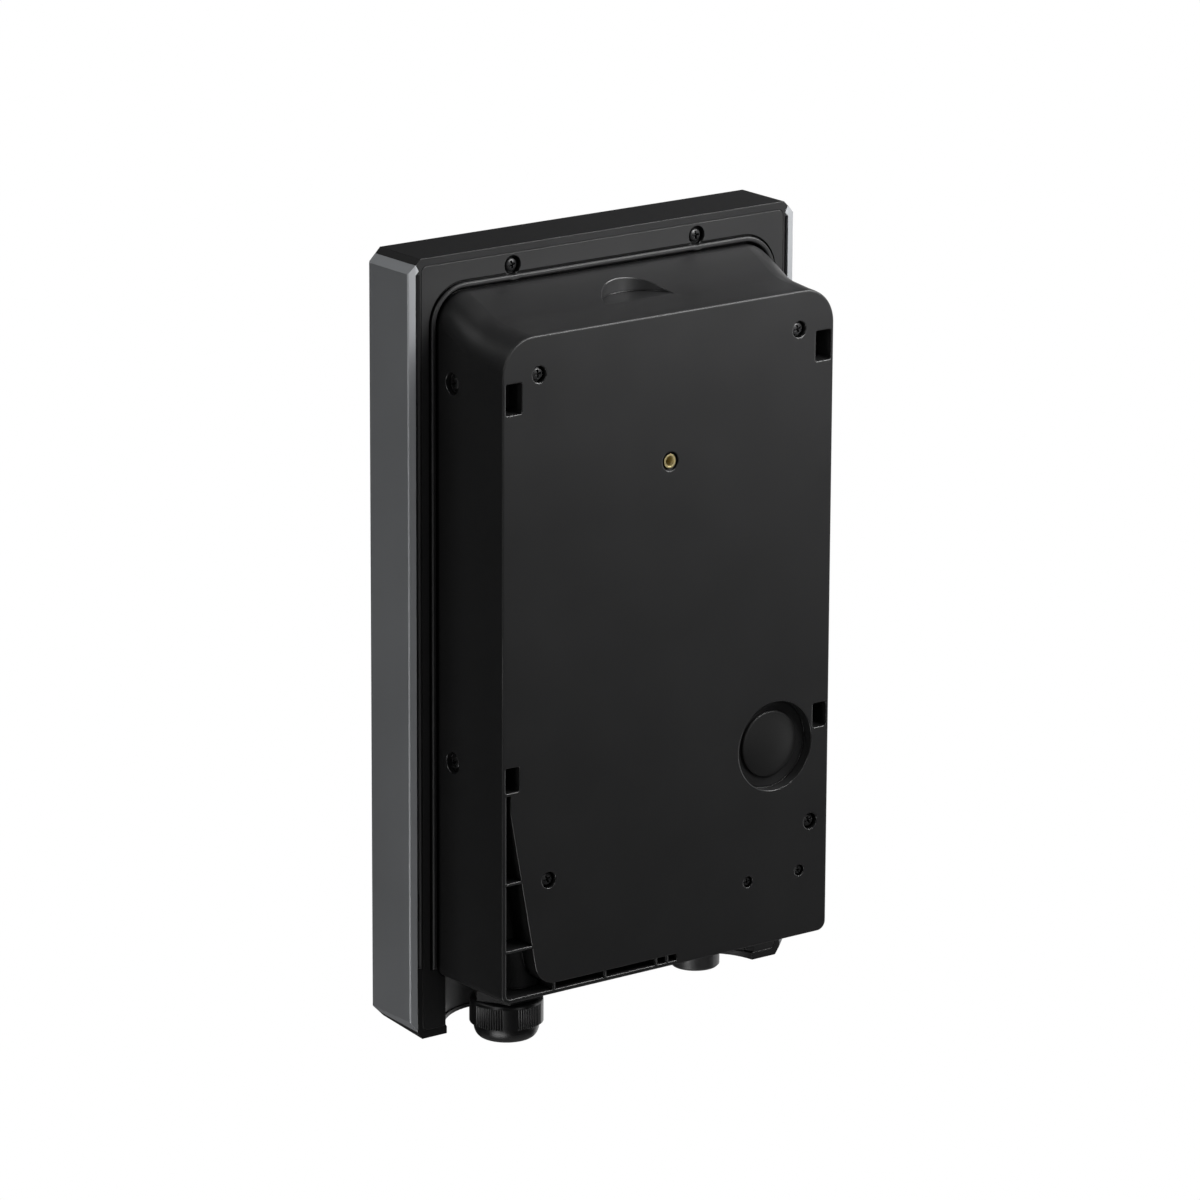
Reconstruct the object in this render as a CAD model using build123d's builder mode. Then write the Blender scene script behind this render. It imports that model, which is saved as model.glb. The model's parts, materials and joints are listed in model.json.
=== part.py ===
from build123d import *
import os

os.makedirs("parts", exist_ok=True)

# Driving dimensions in millimetres
# The origin is the middle of the housing's back face, on the wall plane.
# X is to the right seen from the front, the front faces -Y, and Z is up.
# A depth is a distance in front of the wall plane.

# Rear housing, one moulding with its back wall
housing_width = 164.6
housing_height = 272.0
housing_depth = 43.6
housing_wall = 1.8
back_wall = 2.4
back_edge_round = 0.7
back_corner = 15.0
shoulder_corner = 12.7
lower_corner = 4.0
least_corner = 0.5
shoulder_rise = 10.5
shoulder_lean = 0.3
shoulder_start = 0.4
section_count = 9

# Thumb scoop in the top wall
scoop_radius = 17.2
scoop_centre_depth = 17.3
scoop_floor_rise = 1.8

# Hook pockets in the back face
pocket_skin = 1.4
pocket_depth = 9.0
pocket_wall = 1.5
pocket_round = 1.0
upper_pocket_width = 8.0
upper_pocket_height = 12.7
upper_pocket_drop = 17.5
lower_pocket_width = 7.0
lower_pocket_height = 10.5
lower_pocket_rise = 87.9

# Rear cable entry with its rubber plug
entry_inset = 27.6
entry_rise = 83.8
entry_recess_radius = 18.8
entry_recess_depth = 5.0
entry_hole_radius = 10.0
plug_radius = 13.85
plug_edge = 1.2
plug_crown = 1.5
plug_lip = 1.2
plug_lip_height = 1.4

# Cable channel in the lower corner of the back face
channel_depth = 11.5
channel_wall = 1.5
channel_top_rise = 86.8
channel_neck_width = 2.4
channel_neck_height = 8.2
channel_foot_inset = 18.1
channel_foot_rise = 4.7
channel_foot_round = 10.0
channel_slot_end = 87.5
channel_floor_round = 2.0
channel_rib = 1.0
cross_rib_rises = (50.0, 21.8)
slot_rib_insets = (25.6, 51.1, 76.9, 82.5)

# Screws, as head radius, head height, shank radius and shank length
screw_head_radius = 2.6
screw_head_height = 1.9
screw_shank_radius = 1.5
screw_shank_length = 9.0
small_head_radius = 1.8
small_head_height = 1.3
small_shank_radius = 1.1
small_shank_length = 6.5
cross_width = 0.7
cross_share = 1.3
thread_gap = 0.05
shank_gap = 0.2

# Screws in the back face
rear_bore_radius = 3.45
rear_bore_depth = 3.0
bore_floor = 1.4
bore_wall = 1.6
upper_screw_inset = 17.7
upper_screw_drop = 15.6
lower_screw_rise = 48.4
gland_side_screw_inset = 22.9
plug_side_screw_inset = 8.9
small_bore_radius = 2.4
small_bore_depth = 2.0
small_screw_spacing = 26.6
small_screw_rise = 28.2

# Screws in the side walls
side_bore_radius = 4.3
side_bore_depth = 2.6
side_screw_reach = 9.8
side_screw_upper_drop = 23.6
side_screw_lower_rise = 92.9

# Brass threaded insert
insert_drop = 60.4
insert_radius = 2.95
insert_bore_radius = 2.05
insert_length = 8.0
insert_recess_radius = 4.0
insert_recess_depth = 1.0
insert_sink = 0.3
insert_boss_radius = 5.5

# Front slab with its mid plate
slab_width = 192.2
slab_head = 15.3
slab_depth = 27.4
housing_lift = 22.2
leg_drop = 2.4
corner_chamfer = 5.6
rail_thickness = 3.4
rail_slope = 0.6
rail_tongue = 1.4
rail_tongue_width = 4.0
rail_gap = 0.15
rail_tongue_reach = 14.0
rail_tongue_inset = 15.0
rail_bevel = 0.5
rail_tab = 1.6
rail_tab_height = 4.2
rail_tab_drop = 2.6
rail_tab_depth = 3.0
groove_width = 0.4
groove_bevel = 1.5
groove_depth = 5.0
groove_foot = 27.6
clip_height = 11.0
clip_width = 1.1
clip_sink = 0.5
clip_foot = 53.3
clip_head = 63.5
side_band = 0.8
top_band = 3.3
ledge = 1.6
front_wall = 2.0
panel_thickness = 3.0
panel_rim = 1.5
panel_gap = 0.15
plate_thickness = 3.0
plate_gap = 0.15
plate_corner = 2.5
front_gasket_thickness = 1.0

# Bay for the cables between the two legs
bay_half_width = 79.5
bay_reach = 17.5
bay_corner = 25.0
bay_wall = 2.5
bay_lip = 3.0
bay_step = 0.6

# Raised bead round the housing
bead_gap = 1.3
bead_width = 2.0
bead_height = 1.1
bead_chamfer = 0.5
bead_groove_width = 0.9
bead_groove_depth = 0.7
bead_foot_rise = 4.0
bead_slot_depth = 2.2

# Screws in the mid plate
plate_screw_half_spacing = 45.8
plate_screw_drop = 8.3
plate_bore_radius = 3.95
plate_bore_depth = 2.4
plate_collar_radius = 6.2
shell_boss_radius = 4.2

# Skirt and pillars of the mid plate
skirt_height = 14.0
skirt_thickness = 2.0
skirt_gap = 0.25
skirt_foot_rise = 45.0
lug_height = 14.0
lug_depth = 9.0
lug_gap = 0.3
pillar_radius = 4.0
pillar_gap = 0.2
wire_window_width = 60.0
wire_window_height = 14.0
wire_window_rise = 84.0

# Gasket between the housing and the mid plate
housing_gasket_thickness = 0.8
housing_gasket_width = 1.5
gasket_gap = 0.15

# Cable gland
gland_inset = 18.8
gland_depth = 23.1
gland_boss_radius = 15.0
gland_boss_height = 21.0
gland_thread_radius = 12.4
gland_thread_length = 10.0
gland_washer = 1.0
gland_washer_width = 1.9
gland_flange_radius = 14.8
gland_flange_height = 4.0
gland_stub_radius = 11.6
gland_stub_length = 13.0
gland_bore_radius = 10.0
claw_count = 12
claw_slot = 0.8
claw_length = 6.0
seal_bore_radius = 8.2
seal_gap = 0.15
seal_height = 9.0
nut_gap = 0.3
nut_thread_gap = 0.08
nut_radius = 14.2
nut_chamfer = 1.5
nut_band_height = 10.6
nut_dome_radius = 12.8
nut_dome_height = 6.4
nut_mouth_radius = 9.2
nut_mouth_depth = 2.2
nut_claw_gap = 0.4
nut_rib = 0.6
nut_rib_width = 0.6
nut_rib_groups = 5
nut_ribs_per_group = 12
nut_rib_step = 4.2
nut_rest_turn = -12.0

# Blanking plug beside the gland
blank_offset = 31.8
blank_depth = 22.6
blank_radius = 10.15
blank_height = 10.2
blank_chamfer = 0.8
blank_stub_radius = 6.9
blank_stub_length = 8.0
blank_boss_radius = 9.4
blank_washer = 1.0
bore_gap = 0.1

# Front light
light_length = 60.0
light_height = 4.0
light_drop = 102.0
light_flange = 2.0
light_flange_thickness = 1.5
led_board_margin = 5.0
led_count = 6
led_size = 2.0
led_height = 0.8

# Circuit boards
board_thickness = 1.6
board_post_radius = 3.5
board_hole_inset = 5.0
power_board_width = 100.0
power_board_foot = 66.0
power_board_head = 31.0
power_post_height = 11.0
control_board_width = 120.0
control_board_foot = 98.0
control_board_head = 82.0
control_post_height = 6.0
antenna_size = 56.0
antenna_drop = 152.0
antenna_window = 40.0
antenna_thickness = 1.2
chip_size = 14.0
chip_height = 1.2
shield_width = 24.0
shield_height = 18.0
shield_thickness = 3.0

# Power parts on the rear board, as distances from its upper and lower ends
relay_width = 28.0
relay_height = 32.0
relay_depth = 20.0
relay_half_spacing = 20.0
relay_drop = 60.0
relay_round = 1.0
transformer_width = 34.0
transformer_height = 30.0
transformer_depth = 22.0
transformer_core = 10.0
transformer_offset = 28.0
transformer_drop = 21.0
capacitor_radius = 6.0
capacitor_length = 20.0
capacitor_pitch = 14.0
capacitor_count = 3
capacitor_offset = -28.0
capacitor_drop = 17.0
sensor_radius = 13.5
sensor_bore_radius = 7.5
sensor_thickness = 12.0
sensor_rise = 65.0
terminal_width = 70.0
terminal_height = 20.0
terminal_depth = 20.0
terminal_rise = 20.0
terminal_poles = 5
terminal_wire_radius = 3.5
terminal_screw_radius = 2.5
terminal_screw_depth = 6.0
clamp_margin = 8.0
clamp_height = 9.0
clamp_thickness = 6.0

# Small allowance that carries a cut clear past a face
overcut = 1.0

# Places worked out from the driving dimensions
housing_half = housing_width / 2
housing_bottom = -housing_height / 2
housing_top = housing_height / 2
slab_back = housing_depth
slab_front = slab_back + slab_depth
slab_half = slab_width / 2
slab_height = housing_lift + housing_height + shoulder_rise + slab_head
slab_bottom = housing_bottom - housing_lift
slab_top = slab_bottom + slab_height
leg_bottom = slab_bottom - leg_drop
clip_heights = (
    slab_bottom + clip_foot,
    (slab_bottom + clip_foot + slab_top - clip_head) / 2,
    slab_top - clip_head,
)
shell_half = slab_half - rail_thickness
shell_chamfer = corner_chamfer - rail_thickness
groove_half = shell_half - groove_width
plate_half = groove_half - groove_bevel - side_band
tab_top = slab_top - shell_chamfer
groove_bottom = slab_bottom + groove_foot
groove_top = tab_top - rail_tab_height
tongue_bottom = slab_bottom + rail_tongue_inset
tongue_top = slab_top - rail_tongue_inset
plate_front = slab_back + plate_thickness
seat_depth = plate_thickness + front_gasket_thickness
panel_back = slab_front - panel_thickness
room_front = panel_back - front_wall
plate_top = slab_top - top_band
plate_bottom = leg_bottom + top_band
plate_screw_height = slab_top - plate_screw_drop
plate_screw_places = [(side * plate_screw_half_spacing, plate_screw_height) for side in (-1, 1)]
scoop_floor = housing_top + scoop_floor_rise
entry_place = (entry_inset - housing_half, housing_bottom + entry_rise)
insert_place = (0, housing_top - insert_drop)
rear_screw_places = [
    (housing_half - upper_screw_inset, housing_top - upper_screw_drop),
    (upper_screw_inset - housing_half, housing_top - upper_screw_drop),
    (housing_half - gland_side_screw_inset, housing_bottom + lower_screw_rise),
    (plug_side_screw_inset - housing_half, housing_bottom + lower_screw_rise),
]
small_screw_places = [
    (entry_place[0] + side * small_screw_spacing / 2, housing_bottom + small_screw_rise) for side in (-1, 1)
]
side_screw_depth = slab_back - side_screw_reach
side_screw_heights = (housing_top - side_screw_upper_drop, housing_bottom + side_screw_lower_rise)
side_screw_places = [(-side_screw_depth, height) for height in side_screw_heights]
gland_place = (housing_half - gland_inset, -gland_depth)
blank_place = (-blank_offset, -blank_depth)
power_board_depth = slab_back - power_post_height
power_board_back = power_board_depth - board_thickness
power_board_height = housing_height - power_board_foot - power_board_head
power_board_middle = housing_bottom + power_board_foot + power_board_height / 2
control_board_depth = plate_front + control_post_height
power_board_top = power_board_middle + power_board_height / 2
power_board_bottom = power_board_middle - power_board_height / 2
control_board_height = slab_height - control_board_foot - control_board_head
control_board_middle = slab_bottom + control_board_foot + control_board_height / 2
light_place = (0, slab_top - light_drop)


# Shapes that more than one piece is cut to

def housing_section(depth, inset):
    """Outline of the rear housing at a depth, with its walls moved in by inset."""
    share = min(depth / housing_depth, 1)
    step = max((share - shoulder_start) / (1 - shoulder_start), 0)
    rise = shoulder_rise * (shoulder_lean * share + (1 - shoulder_lean) * step * step * (3 - 2 * step))
    corner = back_corner + (shoulder_corner - back_corner) * share
    with BuildSketch(Plane.XZ.offset(depth)) as section:
        with Locations((0, rise / 2)):
            Rectangle(housing_width - 2 * inset, housing_height + rise - 2 * inset)
        fillet(section.vertices().group_by(Axis.Y)[-1], corner - inset)
        fillet(section.vertices().group_by(Axis.Y)[0], max(lower_corner - inset, least_corner))
    return section.sketch


def housing_sections(inset, start, end):
    """Sections of the rear housing, evenly spaced between two depths."""
    step = (end - start) / (section_count - 1)
    return [housing_section(start + step * number, inset) for number in range(section_count)]


def channel_outline(margin):
    """Cable channel in the back face, grown by margin on its inner side."""
    outer = housing_half - housing_wall
    top = housing_bottom + channel_top_rise
    neck_foot = top - channel_neck_height
    foot_top = housing_bottom + channel_foot_rise + margin
    floor = housing_bottom + housing_wall
    slot_end = housing_half - channel_slot_end - margin
    with BuildSketch(Plane.XZ) as outline:
        with BuildLine():
            Polyline(
                (outer, top + margin),
                (outer - channel_neck_width - margin, top + margin),
                (outer - channel_neck_width - margin, neck_foot),
                (housing_half - channel_foot_inset - margin, foot_top),
                (slot_end, foot_top),
                (slot_end, floor),
                (outer, floor),
                close=True,
            )
        make_face()
        foot = outline.vertices().sort_by_distance((housing_half - channel_foot_inset - margin, foot_top))[0]
        fillet(foot, channel_foot_round)
        fillet(outline.vertices().sort_by_distance((outer, floor))[0], channel_floor_round)
    return outline.sketch


def slab_outline(depth, drop):
    """Chamfered outline of the front slab at a depth, with its foot lowered by drop."""
    with BuildSketch(Plane.XZ.offset(depth)) as outline:
        with BuildLine():
            Polyline(
                (slab_half - corner_chamfer, slab_top),
                (slab_half, slab_top - corner_chamfer),
                (slab_half, slab_bottom + corner_chamfer),
                (slab_half - corner_chamfer, slab_bottom - drop),
                (corner_chamfer - slab_half, slab_bottom - drop),
                (-slab_half, slab_bottom + corner_chamfer),
                (-slab_half, slab_top - corner_chamfer),
                (corner_chamfer - slab_half, slab_top),
                close=True,
            )
        make_face()
    return outline.sketch


def plate_outline(inset, depth):
    """Outline of the mid plate's seat at a depth, moved in by inset."""
    with BuildSketch(Plane.XZ.offset(depth)) as outline:
        with Locations((0, (plate_top + plate_bottom) / 2)):
            RectangleRounded(
                2 * (plate_half - inset), plate_top - plate_bottom - 2 * inset, plate_corner
            )
    return outline.sketch


def tab_outline(side, margin):
    """Tooth of a side rail that hooks into the shell, grown by margin."""
    with BuildSketch(Plane.XZ.offset(slab_back)) as outline:
        with BuildLine():
            Polyline(
                (side * shell_half, tab_top),
                (side * (shell_half - rail_tab), tab_top - rail_tab_drop),
                (side * shell_half, tab_top - rail_tab_height),
                close=True,
            )
        make_face()
        if margin > 0:
            offset(amount=margin, kind=Kind.INTERSECTION)
    return outline.sketch


def bay_plan(margin, height):
    """Plan of the cable bay, grown by margin, at a height."""
    front = slab_back + bay_reach + margin
    run = bay_reach + margin + 2 * bay_corner
    with BuildSketch(Plane.XY.offset(height)) as plan:
        with Locations((0, run / 2 - front)):
            Rectangle(2 * (bay_half_width + margin), run)
        fillet(plan.vertices().group_by(Axis.Y)[0], bay_corner + margin)
    return plan.sketch


def shoulder_outline(margin):
    """Outline of the housing where it meets the mid plate, grown by margin."""
    return housing_section(slab_back, -margin)


def screw_collars():
    """Parts of the bead that bulge round the lower half of the mid plate's screws."""
    with BuildSketch(Plane.XZ.offset(slab_back)) as collars:
        with Locations(*plate_screw_places):
            Circle(plate_collar_radius)
        add(shoulder_outline(bead_gap + bead_width), mode=Mode.INTERSECT)
    return collars.sketch


def pan_screw(head_radius, head_height, shank_radius, shank_length):
    """Cross-recess screw along Z, with the underside of its head at the origin."""
    with BuildPart() as screw:
        Cylinder(shank_radius, shank_length, align=(Align.CENTER, Align.CENTER, Align.MAX))
        Cylinder(head_radius, head_height, align=(Align.CENTER, Align.CENTER, Align.MIN))
        chamfer(screw.edges().sort_by(Axis.Z)[-1], head_height / 3)
        with Locations((0, 0, head_height)):
            Box(cross_share * head_radius, cross_width, head_height, mode=Mode.SUBTRACT)
            Box(cross_width, cross_share * head_radius, head_height, mode=Mode.SUBTRACT)
    return screw.part


def facing(direction, places):
    """Locations on which a screw's head looks along direction."""
    return [Plane(origin=place, z_dir=direction).location for place in places]


# Space inside the rear housing, with every moulded block left standing
with BuildPart() as housing_room:
    loft(sections=housing_sections(housing_wall, back_wall, housing_depth + overcut))
    with Locations((0, -scoop_centre_depth, scoop_floor - housing_wall)):
        Cylinder(
            scoop_radius + housing_wall,
            shoulder_rise + housing_wall,
            align=(Align.CENTER, Align.CENTER, Align.MIN),
            mode=Mode.SUBTRACT,
        )
    with BuildSketch(Plane.XZ.offset(back_wall)):
        for side in (-1, 1):
            with Locations((side * (housing_half - pocket_skin - upper_pocket_width / 2),
                            housing_top - upper_pocket_drop - upper_pocket_height / 2)):
                Rectangle(upper_pocket_width + 2 * pocket_wall, upper_pocket_height + 2 * pocket_wall)
            with Locations((side * (housing_half - pocket_skin - lower_pocket_width / 2),
                            housing_bottom + lower_pocket_rise + lower_pocket_height / 2)):
                Rectangle(lower_pocket_width + 2 * pocket_wall, lower_pocket_height + 2 * pocket_wall)
    extrude(amount=pocket_depth + pocket_wall - back_wall, mode=Mode.SUBTRACT)
    with BuildSketch(Plane.XZ.offset(back_wall)):
        with Locations(entry_place):
            Circle(entry_recess_radius + housing_wall)
    extrude(amount=entry_recess_depth + housing_wall - back_wall, mode=Mode.SUBTRACT)
    with BuildSketch(Plane.XZ.offset(back_wall)):
        with Locations(*rear_screw_places):
            Circle(rear_bore_radius + bore_wall)
    extrude(amount=rear_bore_depth + bore_floor - back_wall, mode=Mode.SUBTRACT)
    with BuildSketch(Plane.XZ.offset(back_wall)):
        with Locations(*small_screw_places):
            Circle(small_bore_radius + bore_wall)
    extrude(amount=small_bore_depth + bore_floor - back_wall, mode=Mode.SUBTRACT)
    with BuildSketch(Plane.XZ.offset(back_wall)):
        with Locations(insert_place):
            Circle(insert_boss_radius)
    extrude(amount=insert_recess_depth + insert_length + bore_floor - back_wall, mode=Mode.SUBTRACT)
    for side in (-1, 1):
        with BuildSketch(Plane.YZ.offset(side * housing_half)):
            with Locations(*side_screw_places):
                Circle(side_bore_radius + bore_wall)
        extrude(amount=-side * (side_bore_depth + bore_floor), mode=Mode.SUBTRACT)
    extrude(channel_outline(channel_wall), amount=channel_depth + channel_wall, mode=Mode.SUBTRACT)
    with BuildSketch(Plane.XY.offset(housing_bottom)):
        with Locations(gland_place):
            Circle(gland_boss_radius)
    extrude(amount=gland_boss_height, mode=Mode.SUBTRACT)
    with BuildSketch(Plane.XY.offset(housing_bottom)):
        with Locations(blank_place):
            Circle(blank_boss_radius)
    extrude(amount=blank_stub_length, mode=Mode.SUBTRACT)

# Cells of the cable channel, with its ribs and the gland's boss left standing
with BuildPart() as channel_cells:
    extrude(channel_outline(0), amount=channel_depth)
    with BuildSketch(Plane.XZ):
        for rise in cross_rib_rises:
            with Locations((housing_half - channel_foot_inset / 2, housing_bottom + rise)):
                Rectangle(channel_foot_inset, channel_rib)
        for inset in slot_rib_insets:
            with Locations((housing_half - inset, housing_bottom + channel_foot_rise / 2)):
                Rectangle(channel_rib, channel_foot_rise)
    extrude(amount=channel_depth, mode=Mode.SUBTRACT)
    with BuildSketch(Plane.XY.offset(housing_bottom)):
        with Locations(gland_place):
            Circle(gland_boss_radius)
    extrude(amount=gland_boss_height, mode=Mode.SUBTRACT)

# Rear housing
with BuildPart() as rear_housing:
    loft(sections=housing_sections(0, 0, housing_depth))
    fillet(rear_housing.faces().sort_by(Axis.Y)[-1].edges(), back_edge_round)
    add(housing_room.part, mode=Mode.SUBTRACT)
    add(channel_cells.part, mode=Mode.SUBTRACT)
    with Locations((0, -scoop_centre_depth, scoop_floor)):
        Cylinder(
            scoop_radius,
            shoulder_rise + overcut,
            align=(Align.CENTER, Align.CENTER, Align.MIN),
            mode=Mode.SUBTRACT,
        )
    with BuildSketch(Plane.XZ):
        for side in (-1, 1):
            with Locations((side * (housing_half - pocket_skin - upper_pocket_width / 2),
                            housing_top - upper_pocket_drop - upper_pocket_height / 2)):
                RectangleRounded(upper_pocket_width, upper_pocket_height, pocket_round)
            with Locations((side * (housing_half - pocket_skin - lower_pocket_width / 2),
                            housing_bottom + lower_pocket_rise + lower_pocket_height / 2)):
                RectangleRounded(lower_pocket_width, lower_pocket_height, pocket_round)
    extrude(amount=pocket_depth, mode=Mode.SUBTRACT)
    with BuildSketch(Plane.XZ):
        with Locations(entry_place):
            Circle(entry_recess_radius)
    extrude(amount=entry_recess_depth, mode=Mode.SUBTRACT)
    with BuildSketch(Plane.XZ):
        with Locations(entry_place):
            Circle(entry_hole_radius)
    extrude(amount=entry_recess_depth + housing_wall + overcut, mode=Mode.SUBTRACT)
    with BuildSketch(Plane.XZ):
        with Locations(*rear_screw_places):
            Circle(rear_bore_radius)
    extrude(amount=rear_bore_depth, mode=Mode.SUBTRACT)
    with BuildSketch(Plane.XZ):
        with Locations(*rear_screw_places):
            Circle(screw_shank_radius + shank_gap)
    extrude(amount=rear_bore_depth + bore_floor + overcut, mode=Mode.SUBTRACT)
    with BuildSketch(Plane.XZ):
        with Locations(*small_screw_places):
            Circle(small_bore_radius)
    extrude(amount=small_bore_depth, mode=Mode.SUBTRACT)
    with BuildSketch(Plane.XZ):
        with Locations(*small_screw_places):
            Circle(small_shank_radius + shank_gap)
    extrude(amount=small_bore_depth + bore_floor + overcut, mode=Mode.SUBTRACT)
    with BuildSketch(Plane.XZ):
        with Locations(insert_place):
            Circle(insert_recess_radius)
    extrude(amount=insert_recess_depth, mode=Mode.SUBTRACT)
    with BuildSketch(Plane.XZ):
        with Locations(insert_place):
            Circle(insert_radius)
    extrude(amount=insert_recess_depth + insert_length, mode=Mode.SUBTRACT)
    for side in (-1, 1):
        with BuildSketch(Plane.YZ.offset(side * housing_half)):
            with Locations(*side_screw_places):
                Circle(side_bore_radius)
        extrude(amount=-side * side_bore_depth, mode=Mode.SUBTRACT)
        with BuildSketch(Plane.YZ.offset(side * housing_half)):
            with Locations(*side_screw_places):
                Circle(screw_shank_radius + shank_gap)
        extrude(amount=-side * (side_bore_depth + bore_floor + overcut), mode=Mode.SUBTRACT)
    with BuildSketch(Plane.XY.offset(housing_bottom)):
        with Locations(gland_place):
            Circle(gland_thread_radius + bore_gap)
    extrude(amount=gland_boss_height, mode=Mode.SUBTRACT)
    with BuildSketch(Plane.XY.offset(housing_bottom)):
        with Locations(blank_place):
            Circle(blank_stub_radius + bore_gap)
    extrude(amount=blank_stub_length, mode=Mode.SUBTRACT)
rear_housing.part.label = "rear_housing"
export_step(rear_housing.part, "parts/rear_housing.step")

# Rubber plug of the rear cable entry
with BuildPart() as rear_entry_plug:
    with BuildSketch(Plane.XY):
        with BuildLine():
            flange_top = entry_recess_depth - plug_edge
            stem_end = entry_recess_depth + housing_wall
            ThreePointArc(
                (0, -(flange_top - plug_crown)),
                (plug_radius / 2, -(flange_top - plug_crown * 3 / 4)),
                (plug_radius, -flange_top),
            )
            Polyline(
                (plug_radius, -flange_top),
                (plug_radius, -entry_recess_depth),
                (entry_hole_radius - bore_gap, -entry_recess_depth),
                (entry_hole_radius - bore_gap, -stem_end),
                (entry_hole_radius + plug_lip, -stem_end),
                (entry_hole_radius - plug_lip, -stem_end - plug_lip_height),
                (0, -stem_end - plug_lip_height),
                (0, -(flange_top - plug_crown)),
            )
        make_face()
    revolve(axis=Axis.Y)
rear_entry_plug.part = rear_entry_plug.part.moved(Location((entry_place[0], 0, entry_place[1])))
rear_entry_plug.part.label = "rear_entry_plug"
export_step(rear_entry_plug.part, "parts/rear_entry_plug.step")

# Brass threaded insert
with BuildPart() as threaded_insert:
    with BuildSketch(Plane.XZ.offset(insert_sink)):
        with Locations(insert_place):
            Circle(insert_radius - thread_gap)
            Circle(insert_bore_radius, mode=Mode.SUBTRACT)
    extrude(amount=insert_recess_depth + insert_length - insert_sink)
threaded_insert.part.label = "threaded_insert"
export_step(threaded_insert.part, "parts/threaded_insert.step")

# Whole front slab as one block, the blank for the shell and its rails
with BuildPart() as slab_block:
    loft(sections=[slab_outline(slab_back, leg_drop), slab_outline(slab_front, 0)], ruled=True)

# Cable bay between the legs, with a narrower lip at its foot
with BuildPart() as cable_bay:
    extrude(bay_plan(0, leg_bottom - overcut), amount=housing_lift + leg_drop + overcut)
    extrude(bay_plan(bay_step, leg_bottom + bay_lip), amount=housing_lift + leg_drop - bay_lip)

# Space inside the front shell, with the walls of the bay and the screw bosses left standing
with BuildPart() as shell_room:
    extrude(plate_outline(ledge, slab_back), amount=room_front - slab_back)
    with BuildSketch(Plane.XY.offset(leg_bottom)):
        add(bay_plan(bay_wall, 0))
        with Locations((0, bay_corner - slab_back - seat_depth)):
            Rectangle(2 * slab_width, 2 * bay_corner, mode=Mode.SUBTRACT)
    extrude(amount=housing_lift + leg_drop + bay_wall, mode=Mode.SUBTRACT)
    with BuildSketch(Plane.XZ.offset(slab_back + seat_depth)):
        with Locations(*plate_screw_places):
            Circle(shell_boss_radius)
    extrude(amount=room_front - slab_back - seat_depth, mode=Mode.SUBTRACT)
    extrude(plate_outline(-plate_gap, slab_back), amount=seat_depth)

# Front shell
with BuildPart() as front_shell:
    add(slab_block.part)
    with BuildSketch(Plane.XY.offset(leg_bottom)):
        with Locations((0, -slab_back - slab_depth / 2)):
            Rectangle(2 * shell_half, slab_depth)
    extrude(amount=slab_height + leg_drop, mode=Mode.INTERSECT)
    add(shell_room.part, mode=Mode.SUBTRACT)
    add(cable_bay.part, mode=Mode.SUBTRACT)
    with BuildSketch(Plane.XZ.offset(panel_back)) as panel_seat:
        with Locations((0, (slab_top + slab_bottom) / 2)):
            Rectangle(2 * (shell_half - panel_rim), slab_height - 2 * panel_rim)
        chamfer(panel_seat.vertices(), shell_chamfer)
    extrude(amount=panel_thickness, mode=Mode.SUBTRACT)
    with BuildSketch(Plane.XZ.offset(room_front)):
        with Locations(light_place):
            Rectangle(light_length, light_height)
    extrude(amount=front_wall, mode=Mode.SUBTRACT)
    for side in (-1, 1):
        with BuildSketch(Plane.XY.offset(groove_bottom)):
            with BuildLine():
                Polyline(
                    (side * shell_half, -slab_back),
                    (side * (groove_half - groove_bevel), -slab_back),
                    (side * groove_half, -slab_back - groove_bevel),
                    (side * groove_half, -slab_back - groove_depth),
                    (side * shell_half, -slab_back - groove_depth),
                    close=True,
                )
            make_face()
        extrude(amount=groove_top - groove_bottom, mode=Mode.SUBTRACT)
        with BuildSketch(Plane.XZ.offset(slab_back + clip_sink)):
            for height in clip_heights:
                with Locations((side * (shell_half - clip_width / 2), height)):
                    Rectangle(clip_width, clip_height)
        extrude(amount=groove_depth - clip_sink)
        extrude(tab_outline(side, rail_gap), amount=rail_tab_depth + rail_gap, mode=Mode.SUBTRACT)
        with BuildSketch(Plane.XY.offset(tongue_bottom - rail_gap)):
            with Locations((side * shell_half, -slab_back - rail_tongue_reach)):
                Rectangle(2 * (rail_tongue + rail_gap), rail_tongue_width + 2 * rail_gap)
        extrude(amount=tongue_top - tongue_bottom + 2 * rail_gap, mode=Mode.SUBTRACT)
    with BuildSketch(Plane.XZ.offset(slab_back + seat_depth)):
        with Locations(*plate_screw_places):
            Circle(screw_shank_radius + thread_gap)
    extrude(amount=screw_shank_length, mode=Mode.SUBTRACT)
front_shell.part.label = "front_shell"
export_step(front_shell.part, "parts/front_shell.step")

# Side rails, one drawn section cut to the slab's chamfered ends
for side, name in ((1, "side_rail_right"), (-1, "side_rail_left")):
    with BuildPart() as side_rail:
        with BuildSketch(Plane.XY.offset(leg_bottom)):
            with BuildLine():
                Polyline(
                    (side * shell_half, -slab_back),
                    (side * (slab_half - rail_bevel), -slab_back - rail_slope),
                    (side * slab_half, -slab_back - rail_slope - rail_bevel),
                    (side * slab_half, -slab_front + rail_bevel),
                    (side * (slab_half - rail_bevel), -slab_front),
                    (side * shell_half, -slab_front),
                    close=True,
                )
            make_face()
        extrude(amount=slab_height + leg_drop)
        with BuildSketch(Plane.XY.offset(tongue_bottom)):
            with Locations((side * (shell_half - rail_tongue / 2), -slab_back - rail_tongue_reach)):
                Rectangle(rail_tongue, rail_tongue_width)
        extrude(amount=tongue_top - tongue_bottom)
        extrude(tab_outline(side, 0), amount=rail_tab_depth)
        add(slab_block.part, mode=Mode.INTERSECT)
    side_rail.part.label = name
    export_step(side_rail.part, "parts/" + name + ".step")

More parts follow.
